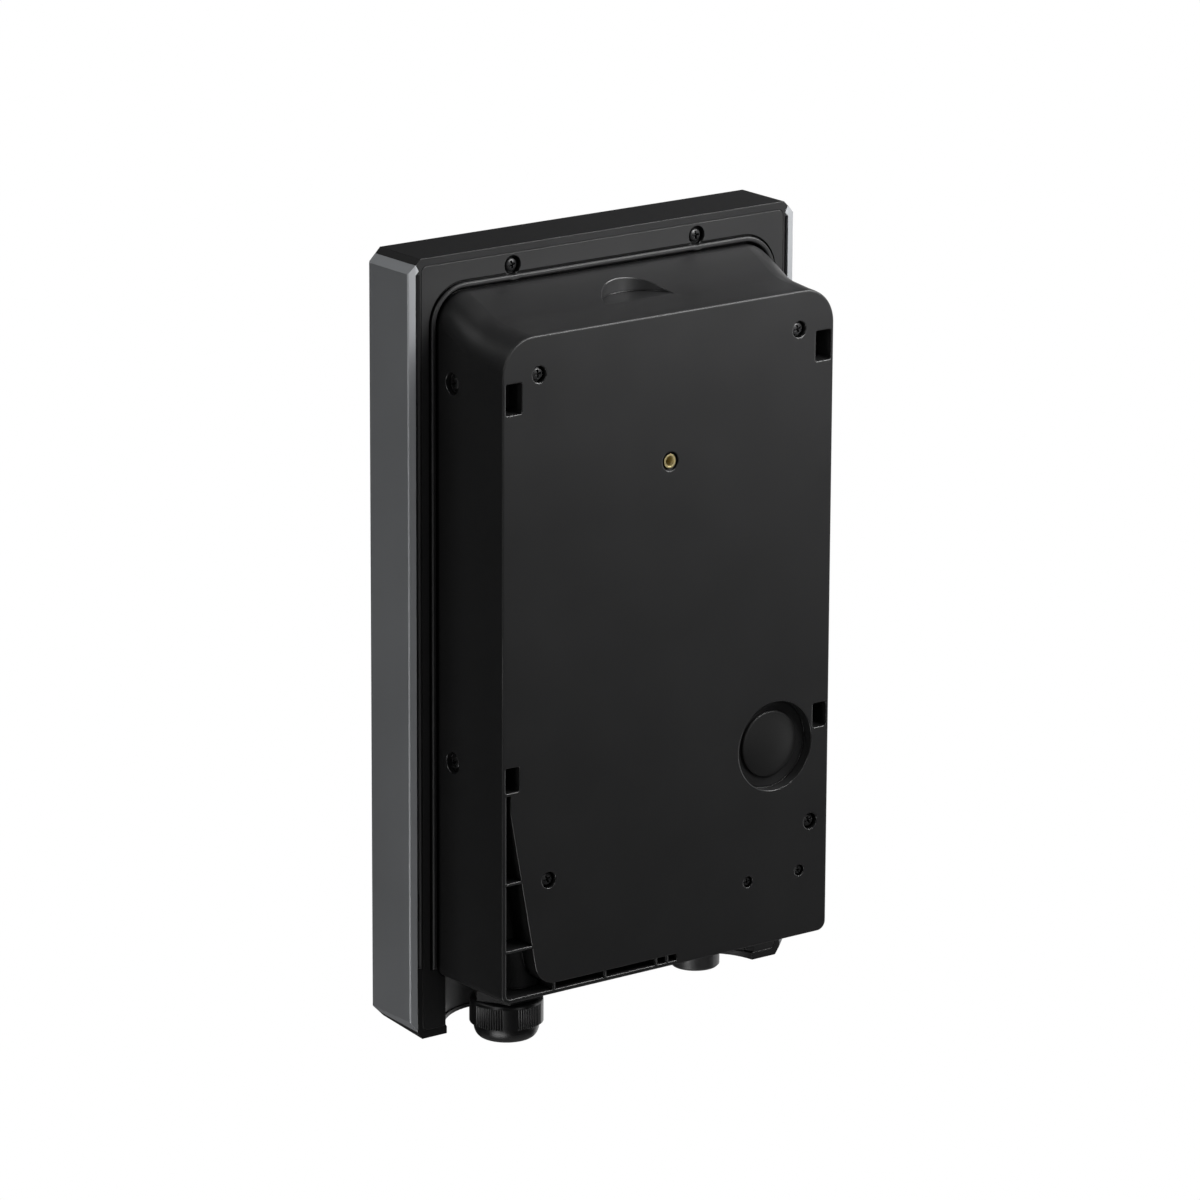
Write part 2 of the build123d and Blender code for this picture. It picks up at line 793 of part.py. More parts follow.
# Front panel
with BuildPart() as front_panel:
    with BuildSketch(Plane.XZ.offset(panel_back)) as panel_face:
        with Locations((0, (slab_top + slab_bottom) / 2)):
            Rectangle(
                2 * (shell_half - panel_rim - panel_gap), slab_height - 2 * (panel_rim + panel_gap)
            )
        chamfer(panel_face.vertices(), shell_chamfer)
        with Locations(light_place):
            Rectangle(light_length, light_height, mode=Mode.SUBTRACT)
    extrude(amount=panel_thickness)
front_panel.part.label = "front_panel"
export_step(front_panel.part, "parts/front_panel.step")

# Light guide behind the slot in the front panel
with BuildPart() as light_guide:
    with BuildSketch(Plane.XZ.offset(room_front)):
        with Locations(light_place):
            Rectangle(light_length - 2 * panel_gap, light_height - 2 * panel_gap)
    extrude(amount=front_wall + panel_thickness)
    with BuildSketch(Plane.XZ.offset(room_front - light_flange_thickness)):
        with Locations(light_place):
            Rectangle(light_length + 2 * light_flange, light_height + 2 * light_flange)
    extrude(amount=light_flange_thickness)
light_guide.part.label = "light_guide"
export_step(light_guide.part, "parts/light_guide.step")

# Light board, whose lamps face the light guide
with BuildPart() as light_board:
    lamp_front = room_front - light_flange_thickness
    with BuildSketch(Plane.XZ.offset(lamp_front - led_height - board_thickness)):
        with Locations(light_place):
            Rectangle(light_length + 2 * led_board_margin, light_height + 2 * led_board_margin)
    extrude(amount=board_thickness)
    with BuildSketch(Plane.XZ.offset(lamp_front - led_height)):
        with Locations(light_place):
            with GridLocations(light_length / led_count, 0, led_count, 1):
                Rectangle(led_size, led_size)
    extrude(amount=led_height)
light_board.part.label = "light_board"
export_step(light_board.part, "parts/light_board.step")

# Card reader's antenna, flat against the front wall
with BuildPart() as reader_antenna:
    with BuildSketch(Plane.XZ.offset(room_front - antenna_thickness)):
        with Locations((0, slab_top - antenna_drop)):
            RectangleRounded(antenna_size, antenna_size, board_post_radius)
            RectangleRounded(antenna_window, antenna_window, board_post_radius, mode=Mode.SUBTRACT)
    extrude(amount=antenna_thickness)
reader_antenna.part.label = "reader_antenna"
export_step(reader_antenna.part, "parts/reader_antenna.step")

# Gasket between the mid plate and the shell's ledge
with BuildPart() as front_gasket:
    extrude(plate_outline(plate_gap, plate_front), amount=front_gasket_thickness)
    extrude(plate_outline(ledge, plate_front), amount=front_gasket_thickness, mode=Mode.SUBTRACT)
    add(cable_bay.part, mode=Mode.SUBTRACT)
front_gasket.part.label = "front_gasket"
export_step(front_gasket.part, "parts/front_gasket.step")

# Mid plate with its skirt, pillars, bead and board posts
with BuildPart() as mid_plate:
    extrude(plate_outline(0, slab_back), amount=plate_thickness)
    add(cable_bay.part, mode=Mode.SUBTRACT)
    with BuildSketch(Plane.XZ.offset(slab_back)):
        add(shoulder_outline(bead_gap + bead_width + bead_groove_width))
        add(shoulder_outline(bead_gap + bead_width), mode=Mode.SUBTRACT)
        with Locations((0, housing_bottom)):
            Rectangle(slab_width, 2 * bead_foot_rise, mode=Mode.SUBTRACT)
    extrude(amount=bead_groove_depth, mode=Mode.SUBTRACT)
    with BuildSketch(Plane.XZ.offset(slab_back)):
        add(shoulder_outline(bead_gap + bead_width))
        add(shoulder_outline(bead_gap), mode=Mode.SUBTRACT)
        with Locations((0, housing_bottom)):
            Rectangle(slab_width, 2 * bead_foot_rise, mode=Mode.SUBTRACT)
        add(screw_collars())
    extrude(amount=-bead_height)
    chamfer(mid_plate.faces().sort_by(Axis.Y)[-1].edges(), bead_chamfer)
    with BuildSketch(Plane.XZ.offset(slab_back - bead_height)):
        with Locations(*plate_screw_places):
            Circle(plate_bore_radius)
    extrude(amount=bead_height + plate_bore_depth, mode=Mode.SUBTRACT)
    with BuildSketch(Plane.XZ.offset(slab_back)):
        with Locations(*plate_screw_places):
            Circle(screw_shank_radius + shank_gap)
    extrude(amount=plate_thickness, mode=Mode.SUBTRACT)
    with BuildSketch(Plane.XZ.offset(slab_back)):
        add(shoulder_outline(bead_gap))
        add(shoulder_outline(gasket_gap), mode=Mode.SUBTRACT)
        with Locations((0, housing_bottom)):
            Rectangle(slab_width, 2 * bead_foot_rise, mode=Mode.SUBTRACT)
    extrude(amount=bead_slot_depth, mode=Mode.SUBTRACT)
    with BuildSketch(Plane.XZ.offset(slab_back)):
        add(shoulder_outline(gasket_gap))
        add(shoulder_outline(-housing_wall - gasket_gap), mode=Mode.SUBTRACT)
    extrude(amount=housing_gasket_thickness, mode=Mode.SUBTRACT)
    with BuildSketch(Plane.XZ.offset(slab_back - skirt_height)):
        add(housing_section(slab_back - skirt_height, housing_wall + skirt_gap))
        add(housing_section(slab_back - skirt_height, housing_wall + skirt_gap + skirt_thickness),
            mode=Mode.SUBTRACT)
        for height in side_screw_heights:
            for side in (-1, 1):
                with Locations((side * (housing_half - housing_wall - skirt_gap - lug_depth / 2), height)):
                    Rectangle(lug_depth, lug_height)
        with Locations((0, housing_bottom)):
            Rectangle(slab_width, 2 * skirt_foot_rise, mode=Mode.SUBTRACT)
    extrude(amount=skirt_height)
    with Locations((0, -scoop_centre_depth, scoop_floor - housing_wall - skirt_gap)):
        Cylinder(
            scoop_radius + housing_wall + skirt_gap,
            shoulder_rise,
            align=(Align.CENTER, Align.CENTER, Align.MIN),
            mode=Mode.SUBTRACT,
        )
    for side in (-1, 1):
        with BuildSketch(Plane.YZ.offset(side * housing_half)):
            with Locations(*side_screw_places):
                Circle(side_bore_radius + bore_wall + lug_gap)
        extrude(amount=-side * (side_bore_depth + bore_floor + lug_gap), mode=Mode.SUBTRACT)
        with BuildSketch(Plane.YZ.offset(side * housing_half)):
            with Locations(*side_screw_places):
                Circle(screw_shank_radius + thread_gap)
        extrude(amount=-side * (side_bore_depth + screw_shank_length + overcut), mode=Mode.SUBTRACT)
    pillar_back = rear_bore_depth + bore_floor + pillar_gap
    with BuildSketch(Plane.XZ.offset(pillar_back)):
        with Locations(*rear_screw_places):
            Circle(pillar_radius)
    extrude(amount=slab_back - pillar_back)
    with BuildSketch(Plane.XZ.offset(pillar_back)):
        with Locations(*rear_screw_places):
            Circle(screw_shank_radius + thread_gap)
    extrude(amount=screw_shank_length, mode=Mode.SUBTRACT)
    with BuildSketch(Plane.XZ.offset(power_board_depth)):
        with Locations((0, power_board_middle)):
            with GridLocations(power_board_width - 2 * board_hole_inset,
                               power_board_height - 2 * board_hole_inset, 2, 2):
                Circle(board_post_radius)
                Circle(small_shank_radius + thread_gap, mode=Mode.SUBTRACT)
    extrude(amount=power_post_height)
    with BuildSketch(Plane.XZ.offset(plate_front)):
        with Locations((0, control_board_middle)):
            with GridLocations(control_board_width - 2 * board_hole_inset,
                               control_board_height - 2 * board_hole_inset, 2, 2):
                Circle(board_post_radius)
                Circle(small_shank_radius + thread_gap, mode=Mode.SUBTRACT)
    extrude(amount=control_post_height)
    with BuildSketch(Plane.XZ.offset(slab_back)):
        with Locations((0, slab_bottom + wire_window_rise)):
            Rectangle(wire_window_width, wire_window_height)
    extrude(amount=plate_thickness, mode=Mode.SUBTRACT)
mid_plate.part.label = "mid_plate"
export_step(mid_plate.part, "parts/mid_plate.step")

# Gasket under the edge of the rear housing
with BuildPart() as housing_gasket:
    with BuildSketch(Plane.XZ.offset(slab_back)):
        add(shoulder_outline(-gasket_gap))
        add(shoulder_outline(-gasket_gap - housing_gasket_width), mode=Mode.SUBTRACT)
    extrude(amount=housing_gasket_thickness)
housing_gasket.part.label = "housing_gasket"
export_step(housing_gasket.part, "parts/housing_gasket.step")

# Cross-recess screws, in groups by where they go
large_screw = pan_screw(screw_head_radius, screw_head_height, screw_shank_radius, screw_shank_length)
small_screw = pan_screw(small_head_radius, small_head_height, small_shank_radius, small_shank_length)
screw_groups = {
    "rear_screws": (large_screw, facing((0, 1, 0), [(x, -rear_bore_depth, z) for x, z in rear_screw_places])),
    "small_rear_screws": (
        small_screw, facing((0, 1, 0), [(x, -small_bore_depth, z) for x, z in small_screw_places])
    ),
    "mid_plate_screws": (
        large_screw,
        facing((0, 1, 0), [(x, -slab_back - plate_bore_depth, z) for x, z in plate_screw_places]),
    ),
    "side_screws": (
        large_screw,
        facing((1, 0, 0), [(housing_half - side_bore_depth, y, z) for y, z in side_screw_places])
        + facing((-1, 0, 0), [(side_bore_depth - housing_half, y, z) for y, z in side_screw_places]),
    ),
}
for name, (screw, places) in screw_groups.items():
    with BuildPart() as screws:
        with Locations(*places):
            add(screw)
    screws.part.label = name
    export_step(screws.part, "parts/" + name + ".step")

# Gland body with its threads, flange and clamping claws
gland_axis = Location((gland_place[0], gland_place[1], housing_bottom))
flange_foot = -gland_washer - gland_flange_height
stub_foot = flange_foot - gland_stub_length
with BuildPart() as gland_body:
    with Locations((0, 0, -gland_washer)):
        Cylinder(
            gland_thread_radius,
            gland_thread_length + gland_washer,
            align=(Align.CENTER, Align.CENTER, Align.MIN),
        )
    with BuildSketch(Plane.XY.offset(flange_foot)):
        RegularPolygon(gland_flange_radius, 6, major_radius=True)
    extrude(amount=gland_flange_height)
    with Locations((0, 0, stub_foot)):
        Cylinder(gland_stub_radius, gland_stub_length, align=(Align.CENTER, Align.CENTER, Align.MIN))
    with Locations((0, 0, stub_foot)):
        Cylinder(
            gland_bore_radius,
            gland_thread_length - stub_foot,
            align=(Align.CENTER, Align.CENTER, Align.MIN),
            mode=Mode.SUBTRACT,
        )
    with BuildSketch(Plane.XY.offset(stub_foot)):
        with PolarLocations(gland_stub_radius, claw_count):
            Rectangle(gland_stub_radius, claw_slot)
    extrude(amount=claw_length, mode=Mode.SUBTRACT)
gland_body.part = gland_body.part.moved(gland_axis)
gland_body.part.label = "gland_body"
export_step(gland_body.part, "parts/gland_body.step")

# Sealing washer between the gland's flange and the housing
with BuildPart() as gland_washer_ring:
    with BuildSketch(Plane.XY.offset(-gland_washer)):
        Circle(gland_thread_radius + bore_gap + gland_washer_width)
        Circle(gland_thread_radius + bore_gap, mode=Mode.SUBTRACT)
    extrude(amount=gland_washer)
gland_washer_ring.part = gland_washer_ring.part.moved(gland_axis)
gland_washer_ring.part.label = "gland_washer"
export_step(gland_washer_ring.part, "parts/gland_washer.step")

# Rubber sleeve that the claws press on the cable
with BuildPart() as gland_seal:
    with BuildSketch(Plane.XY.offset(stub_foot)):
        Circle(gland_bore_radius - seal_gap)
        Circle(seal_bore_radius, mode=Mode.SUBTRACT)
    extrude(amount=seal_height)
gland_seal.part = gland_seal.part.moved(gland_axis)
gland_seal.part.label = "gland_seal"
export_step(gland_seal.part, "parts/gland_seal.step")

# Domed nut of the gland, ribbed in groups round its band
nut_top = flange_foot - nut_gap
band_foot = nut_top - nut_band_height
nut_foot = band_foot - nut_dome_height
with BuildPart() as gland_nut:
    with BuildSketch(Plane.XZ):
        with BuildLine():
            nut_thread_radius = gland_stub_radius + nut_thread_gap
            thread_foot = stub_foot - nut_claw_gap
            Polyline(
                (nut_dome_radius, band_foot),
                (nut_radius, band_foot),
                (nut_radius, nut_top - nut_chamfer),
                (nut_radius - nut_chamfer, nut_top),
                (nut_thread_radius, nut_top),
                (nut_thread_radius, thread_foot),
                (nut_mouth_radius, nut_foot + nut_mouth_depth),
                (nut_mouth_radius, nut_foot),
            )
            dome_flat = (nut_mouth_radius + nut_chamfer, nut_foot)
            Line((nut_mouth_radius, nut_foot), dome_flat)
            TangentArc((nut_dome_radius, band_foot), dome_flat, tangent=(0, -1))
        make_face()
    revolve(axis=Axis.Z)
    for group in range(nut_rib_groups):
        middle = (group + 1 / 2) * 360 / nut_rib_groups + nut_rest_turn
        start = middle - (nut_ribs_per_group - 1) / 2 * nut_rib_step
        with BuildSketch(Plane.XY.offset(band_foot)):
            with PolarLocations(
                nut_radius, nut_ribs_per_group, start_angle=start,
                angular_range=nut_ribs_per_group * nut_rib_step,
            ):
                Rectangle(2 * nut_rib, nut_rib_width)
        extrude(amount=nut_band_height - nut_chamfer)
gland_nut.part = gland_nut.part.moved(gland_axis)
gland_nut.part.label = "gland_nut"
export_step(gland_nut.part, "parts/gland_nut.step")

# Smooth blanking plug in the second cable hole
with BuildPart() as blanking_plug:
    with Locations((0, 0, -blank_washer)):
        Cylinder(blank_radius, blank_height, align=(Align.CENTER, Align.CENTER, Align.MAX))
    chamfer(blanking_plug.edges().sort_by(Axis.Z)[0], blank_chamfer)
    with Locations((0, 0, -blank_washer)):
        Cylinder(
            blank_stub_radius,
            blank_stub_length + blank_washer,
            align=(Align.CENTER, Align.CENTER, Align.MIN),
        )
blank_axis = Location((blank_place[0], blank_place[1], housing_bottom))
blanking_plug.part = blanking_plug.part.moved(blank_axis)
blanking_plug.part.label = "blanking_plug"
export_step(blanking_plug.part, "parts/blanking_plug.step")

# Sealing washer of the blanking plug
with BuildPart() as blank_washer_ring:
    with BuildSketch(Plane.XY.offset(-blank_washer)):
        Circle(blank_radius - blank_chamfer)
        Circle(blank_stub_radius + bore_gap, mode=Mode.SUBTRACT)
    extrude(amount=blank_washer)
blank_washer_ring.part = blank_washer_ring.part.moved(blank_axis)
blank_washer_ring.part.label = "blanking_washer"
export_step(blank_washer_ring.part, "parts/blanking_washer.step")

# Clamp bar inside the back wall, held by the two small screws
with BuildPart() as cable_clamp:
    with BuildSketch(Plane.XZ.offset(small_bore_depth + bore_floor)):
        with Locations((entry_place[0], housing_bottom + small_screw_rise)):
            RectangleRounded(small_screw_spacing + 2 * clamp_margin, clamp_height, pocket_round)
        with Locations(*small_screw_places):
            Circle(small_shank_radius + thread_gap, mode=Mode.SUBTRACT)
    extrude(amount=clamp_thickness)
cable_clamp.part.label = "cable_clamp"
export_step(cable_clamp.part, "parts/cable_clamp.step")

# Power board on the posts behind the mid plate
power_holes = (power_board_width - 2 * board_hole_inset, power_board_height - 2 * board_hole_inset)
with BuildPart() as power_board:
    with BuildSketch(Plane.XZ.offset(power_board_back)):
        with Locations((0, power_board_middle)):
            Rectangle(power_board_width, power_board_height)
            with GridLocations(*power_holes, 2, 2):
                Circle(small_shank_radius + shank_gap, mode=Mode.SUBTRACT)
    extrude(amount=board_thickness)
power_board.part.label = "power_board"
export_step(power_board.part, "parts/power_board.step")

# Two relays that switch the charging current
with BuildPart() as relays:
    with BuildSketch(Plane.XZ.offset(power_board_back - relay_depth)):
        with Locations((0, power_board_top - relay_drop)):
            with GridLocations(2 * relay_half_spacing, 0, 2, 1):
                RectangleRounded(relay_width, relay_height, relay_round)
    extrude(amount=relay_depth)
relays.part.label = "relays"
export_step(relays.part, "parts/relays.step")

# Transformer of the auxiliary supply, a winding block inside a core
with BuildPart() as supply_transformer:
    with BuildSketch(Plane.XZ.offset(power_board_back - transformer_depth)):
        with Locations((transformer_offset, power_board_top - transformer_drop)):
            Rectangle(transformer_width, transformer_core)
    extrude(amount=transformer_depth)
    with BuildSketch(Plane.XZ.offset(power_board_back - transformer_depth + relay_round)):
        with Locations((transformer_offset, power_board_top - transformer_drop)):
            RectangleRounded(transformer_width - transformer_core, transformer_height, relay_round)
    extrude(amount=transformer_depth - relay_round)
supply_transformer.part.label = "supply_transformer"
export_step(supply_transformer.part, "parts/supply_transformer.step")

# Smoothing capacitors
with BuildPart() as capacitors:
    with BuildSketch(Plane.XZ.offset(power_board_back - capacitor_length)):
        with Locations((capacitor_offset, power_board_top - capacitor_drop)):
            with GridLocations(capacitor_pitch, 0, capacitor_count, 1):
                Circle(capacitor_radius)
    extrude(amount=capacitor_length)
    chamfer(capacitors.faces().filter_by(Axis.Y).group_by(Axis.Y)[-1].edges(), relay_round)
capacitors.part.label = "capacitors"
export_step(capacitors.part, "parts/capacitors.step")

# Fault current sensor, a ring on edge that the mains leads pass through
with BuildPart() as current_sensor:
    with BuildSketch(Plane.XY.offset(power_board_bottom + sensor_rise - sensor_thickness / 2)):
        with Locations((0, sensor_radius - power_board_back)):
            Circle(sensor_radius)
            Circle(sensor_bore_radius, mode=Mode.SUBTRACT)
        with Locations((0, -power_board_back + sensor_radius / 4)):
            Rectangle(sensor_radius, sensor_radius / 2)
    extrude(amount=sensor_thickness)
current_sensor.part.label = "current_sensor"
export_step(current_sensor.part, "parts/current_sensor.step")

# Terminal block for the mains leads
with BuildPart() as terminal_block:
    terminal_pitch = terminal_width / terminal_poles
    terminal_middle = power_board_bottom + terminal_rise
    with BuildSketch(Plane.XZ.offset(power_board_back - terminal_depth)):
        with Locations((0, terminal_middle)):
            Rectangle(terminal_width, terminal_height)
    extrude(amount=terminal_depth)
    with BuildSketch(Plane.XY.offset(terminal_middle - terminal_height / 2)):
        with Locations((0, terminal_depth / 2 - power_board_back)):
            with GridLocations(terminal_pitch, 0, terminal_poles, 1):
                Circle(terminal_wire_radius)
    extrude(amount=terminal_height / 2, mode=Mode.SUBTRACT)
    with BuildSketch(Plane.XZ.offset(power_board_back - terminal_depth)):
        with Locations((0, terminal_middle)):
            with GridLocations(terminal_pitch, 0, terminal_poles, 1):
                Circle(terminal_screw_radius)
    extrude(amount=terminal_screw_depth, mode=Mode.SUBTRACT)
terminal_block.part.label = "terminal_block"
export_step(terminal_block.part, "parts/terminal_block.step")

# Control board with its processor and radio shield
control_holes = (control_board_width - 2 * board_hole_inset, control_board_height - 2 * board_hole_inset)
control_front = control_board_depth + board_thickness
with BuildPart() as control_board:
    with BuildSketch(Plane.XZ.offset(control_board_depth)):
        with Locations((0, control_board_middle)):
            Rectangle(control_board_width, control_board_height)
            with GridLocations(*control_holes, 2, 2):
                Circle(small_shank_radius + shank_gap, mode=Mode.SUBTRACT)
    extrude(amount=board_thickness)
    with BuildSketch(Plane.XZ.offset(control_front)):
        with Locations((0, control_board_middle)):
            Rectangle(chip_size, chip_size)
    extrude(amount=chip_height)
    with BuildSketch(Plane.XZ.offset(control_front)):
        with Locations((shield_width, control_board_middle + 2 * shield_height)):
            Rectangle(shield_width, shield_height)
    extrude(amount=shield_thickness)
control_board.part.label = "control_board"
export_step(control_board.part, "parts/control_board.step")

# Screws of both boards
board_screw_places = facing((0, 1, 0), [
    (side * power_holes[0] / 2, -power_board_back, power_board_middle + end * power_holes[1] / 2)
    for side in (-1, 1) for end in (-1, 1)
]) + facing((0, -1, 0), [
    (side * control_holes[0] / 2, -control_front, control_board_middle + end * control_holes[1] / 2)
    for side in (-1, 1) for end in (-1, 1)
])
with BuildPart() as board_screws:
    with Locations(*board_screw_places):
        add(small_screw)
board_screws.part.label = "board_screws"
export_step(board_screws.part, "parts/board_screws.step")
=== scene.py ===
# %% [markdown]
# # A wall-mounted vehicle charger, seen from behind
# The construction of this charger comes from a CAD model that is loaded as a fixed frame. Blender adds
# what CAD leaves plain: grained plastic, anodised rails, screw heads, a thread, light and camera. The
# axes are those of the CAD model: +X right seen from the front, +Y into the wall, +Z up. Blender works
# in metres. Small pieces are written in millimetres and scaled when they are made.

# %% Load the frame
import json
import math
import bmesh
import bpy
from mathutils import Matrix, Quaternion, Vector


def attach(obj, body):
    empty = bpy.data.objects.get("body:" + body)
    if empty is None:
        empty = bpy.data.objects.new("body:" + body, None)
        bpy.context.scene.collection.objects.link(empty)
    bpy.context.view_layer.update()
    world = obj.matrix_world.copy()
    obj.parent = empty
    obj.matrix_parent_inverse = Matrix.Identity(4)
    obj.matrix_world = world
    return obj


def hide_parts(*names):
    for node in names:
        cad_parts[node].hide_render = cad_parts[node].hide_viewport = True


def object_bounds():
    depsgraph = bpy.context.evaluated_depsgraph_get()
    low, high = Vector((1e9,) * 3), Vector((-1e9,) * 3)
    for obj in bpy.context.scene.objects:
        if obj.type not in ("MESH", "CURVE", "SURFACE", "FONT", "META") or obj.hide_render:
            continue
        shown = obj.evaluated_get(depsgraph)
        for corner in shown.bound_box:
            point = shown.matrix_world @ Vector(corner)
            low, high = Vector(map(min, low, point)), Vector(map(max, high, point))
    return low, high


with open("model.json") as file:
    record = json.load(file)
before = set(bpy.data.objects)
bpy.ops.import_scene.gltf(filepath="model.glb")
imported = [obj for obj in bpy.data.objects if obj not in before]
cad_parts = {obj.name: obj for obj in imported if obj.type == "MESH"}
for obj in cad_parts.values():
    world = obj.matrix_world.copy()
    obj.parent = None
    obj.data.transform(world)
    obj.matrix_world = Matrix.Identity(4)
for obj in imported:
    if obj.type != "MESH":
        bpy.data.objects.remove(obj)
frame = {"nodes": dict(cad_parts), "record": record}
cad_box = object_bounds()
print("nodes:", len(frame["nodes"]), "box:", [round(v, 4) for v in cad_box[1] - cad_box[0]])

# %% [markdown]
# ## Camera
# The picture is taken with a long lens, from behind and a little above, so that upright edges stay
# almost parallel. A camera could be placed by hand in the viewport. Here its place is given as angles
# round a target, because that is how a photographer sets a tripod, and each angle can be changed by
# itself. The focal length follows from the picture's width in pixels and the sensor's width.

# %% Camera behind the charger
view_turn = math.radians(36.852)
view_height = math.radians(15.73)
view_roll = math.radians(0.265)
view_distance = 2.724348
view_target = Vector((0.016944, -0.0236, 0.015877))
picture_pixels = 1200
focal_pixels = 6802.336
sensor_width = 36.0

towards_camera = Vector((
    math.sin(view_turn) * math.cos(view_height),
    math.cos(view_turn) * math.cos(view_height),
    math.sin(view_height),
))
camera_data = bpy.data.cameras.new("product_camera")
camera_data.sensor_width = sensor_width
camera_data.lens = sensor_width * focal_pixels / picture_pixels
camera = bpy.data.objects.new("product_camera", camera_data)
bpy.context.collection.objects.link(camera)
camera.location = view_target + view_distance * towards_camera
camera.rotation_mode = "QUATERNION"
roll = Quaternion((0, 0, 1), view_roll)
camera.rotation_quaternion = (-towards_camera).to_track_quat("-Z", "Y") @ roll
bpy.context.scene.camera = camera
print("camera at", [round(v, 3) for v in camera.location], "lens", round(camera_data.lens, 1))

# %% [markdown]
# ## Studio
# A product picture on white is taken in front of a lit white card. A world that is white all round would
# give that background, but it would also light the black plastic from every side and turn it grey. So
# the world answers each kind of ray by itself. Camera rays see white. Glossy rays see a white card only
# beyond the charger, on the right of the picture, so that edges turned away from the camera shine. All
# other rays see a dim room. It is a touch lighter at the front left, which the metal rail's outer face
# mirrors, and has one lighter patch high in front, which the rail's end chamfer mirrors.

# %% An empty world
scene = bpy.context.scene
scene.view_settings.view_transform = "Standard"
world = bpy.data.worlds.new("studio")
scene.world = world
world.use_nodes = True
world_tree = world.node_tree
world_tree.nodes.clear()
ray_way = world_tree.nodes.new("ShaderNodeTexCoord")
ray_kind = world_tree.nodes.new("ShaderNodeLightPath")
print("world:", world.name, "with", len(world_tree.nodes), "nodes to start from")

# %% [markdown]
# ## Nodes
# Light and finishes are both made of nodes. They could be drawn by hand in the editor, but a script can
# be read and run again. Each node takes several lines there, so a few helpers make the kinds that come
# back, and each hands its output on. A constant is set on the socket itself, not fed through a node.


# %% Short ways to make nodes
def feed(tree, socket, source):
    """Link an output to a socket, or set a constant on the socket itself."""
    if isinstance(source, bpy.types.NodeSocket):
        tree.links.new(source, socket)
    else:
        socket.default_value = source


def two_values(tree, operation, first, second):
    """Sum, product or larger one of two values."""
    node = tree.nodes.new("ShaderNodeMath")
    node.operation = operation
    feed(tree, node.inputs[0], first)
    feed(tree, node.inputs[1], second)
    return node.outputs["Value"]


def shared_way(tree, first, second):
    """How far one direction turns towards another: 1 is the same way, 0 is square to it."""
    node = tree.nodes.new("ShaderNodeVectorMath")
    node.operation = "DOT_PRODUCT"
    feed(tree, node.inputs[0], first)
    feed(tree, node.inputs[1], second)
    return node.outputs["Value"]


def rescaled(tree, value, start, end, low, high, ease="LINEAR"):
    """Value that goes from low to high while another one goes from start to end."""
    node = tree.nodes.new("ShaderNodeMapRange")
    node.interpolation_type = ease
    node.inputs["From Min"].default_value = start
    node.inputs["From Max"].default_value = end
    node.inputs["To Min"].default_value = low
    node.inputs["To Max"].default_value = high
    tree.links.new(value, node.inputs["Value"])
    return node.outputs["Result"]


print("node helpers: feed, two_values, shared_way, rescaled")


# %% Dim room
def towards(direction, start, end, low, high):
    """Light of the world that rises from low to high as a ray turns towards a direction."""
    turned = shared_way(world_tree, ray_way.outputs["Generated"], direction)
    return rescaled(world_tree, turned, start, end, low, high, ease="SMOOTHSTEP")


room_dim = 0.03
room_light = 0.035
room_side = Vector((0.577, -0.77, -0.1)).normalized()
room_top_light = 0.14
room_top = Vector((0.27, -0.77, 0.58)).normalized()
room_tint = (0.97, 0.985, 1.0, 1)

side_light = towards(room_side, start=0.0, end=0.9, low=room_dim, high=room_light)
top_light = towards(room_top, start=0.80, end=0.96, low=0.0, high=room_top_light)
room = world_tree.nodes.new("ShaderNodeBackground")
room.inputs["Color"].default_value = room_tint
world_tree.links.new(two_values(world_tree, "ADD", side_light, top_light), room.inputs["Strength"])
print("room light", room_dim, "to", room_light, "and", room_top_light, "more high in front")

# %% White card
card_way = Vector((-0.93, -0.36, -0.10)).normalized()
card = world_tree.nodes.new("ShaderNodeBackground")
card.inputs["Color"].default_value = (1, 1, 1, 1)
card.inputs["Strength"].default_value = 1.0
card_there = towards(card_way, start=0.82, end=0.95, low=0.0, high=1.0)
card_mirrored = two_values(world_tree, "MULTIPLY", card_there, ray_kind.outputs["Is Glossy Ray"])
card_share = two_values(world_tree, "MAXIMUM", card_mirrored, ray_kind.outputs["Is Camera Ray"])
world_mix = world_tree.nodes.new("ShaderNodeMixShader")
world_tree.links.new(card_share, world_mix.inputs["Fac"])
world_tree.links.new(room.outputs["Background"], world_mix.inputs[1])
world_tree.links.new(card.outputs["Background"], world_mix.inputs[2])
world_out = world_tree.nodes.new("ShaderNodeOutputWorld")
world_tree.links.new(world_mix.outputs["Shader"], world_out.inputs["Surface"])
print("white card towards", [round(v, 2) for v in card_way], "nodes:", len(world_tree.nodes))

# %% [markdown]
# ## Lamps
# On black plastic each highlight is the mirror image of something bright, so a studio lights it with
# flat panels. Point lamps would leave hard dots. Every panel here is set by the brightness of its face,
# because a highlight keeps that brightness when the panel is moved or made larger. The key box stands
# close to the upper right of the back. It is aimed past the charger, above it, so that its light falls
# off down the back wall, as a feathered light does. Tall strips on both sides draw the lines along
# edges, rims and the dark side wall. Panels above and in front reach the top faces and the upper corner,
# and one far out behind the charger lights the backs of the rails. The low and the high card by the
# cable gland make highlights only. In a studio such small cards light little else, and keeping them out
# of the diffuse light leaves the walls near them as dark as they are.


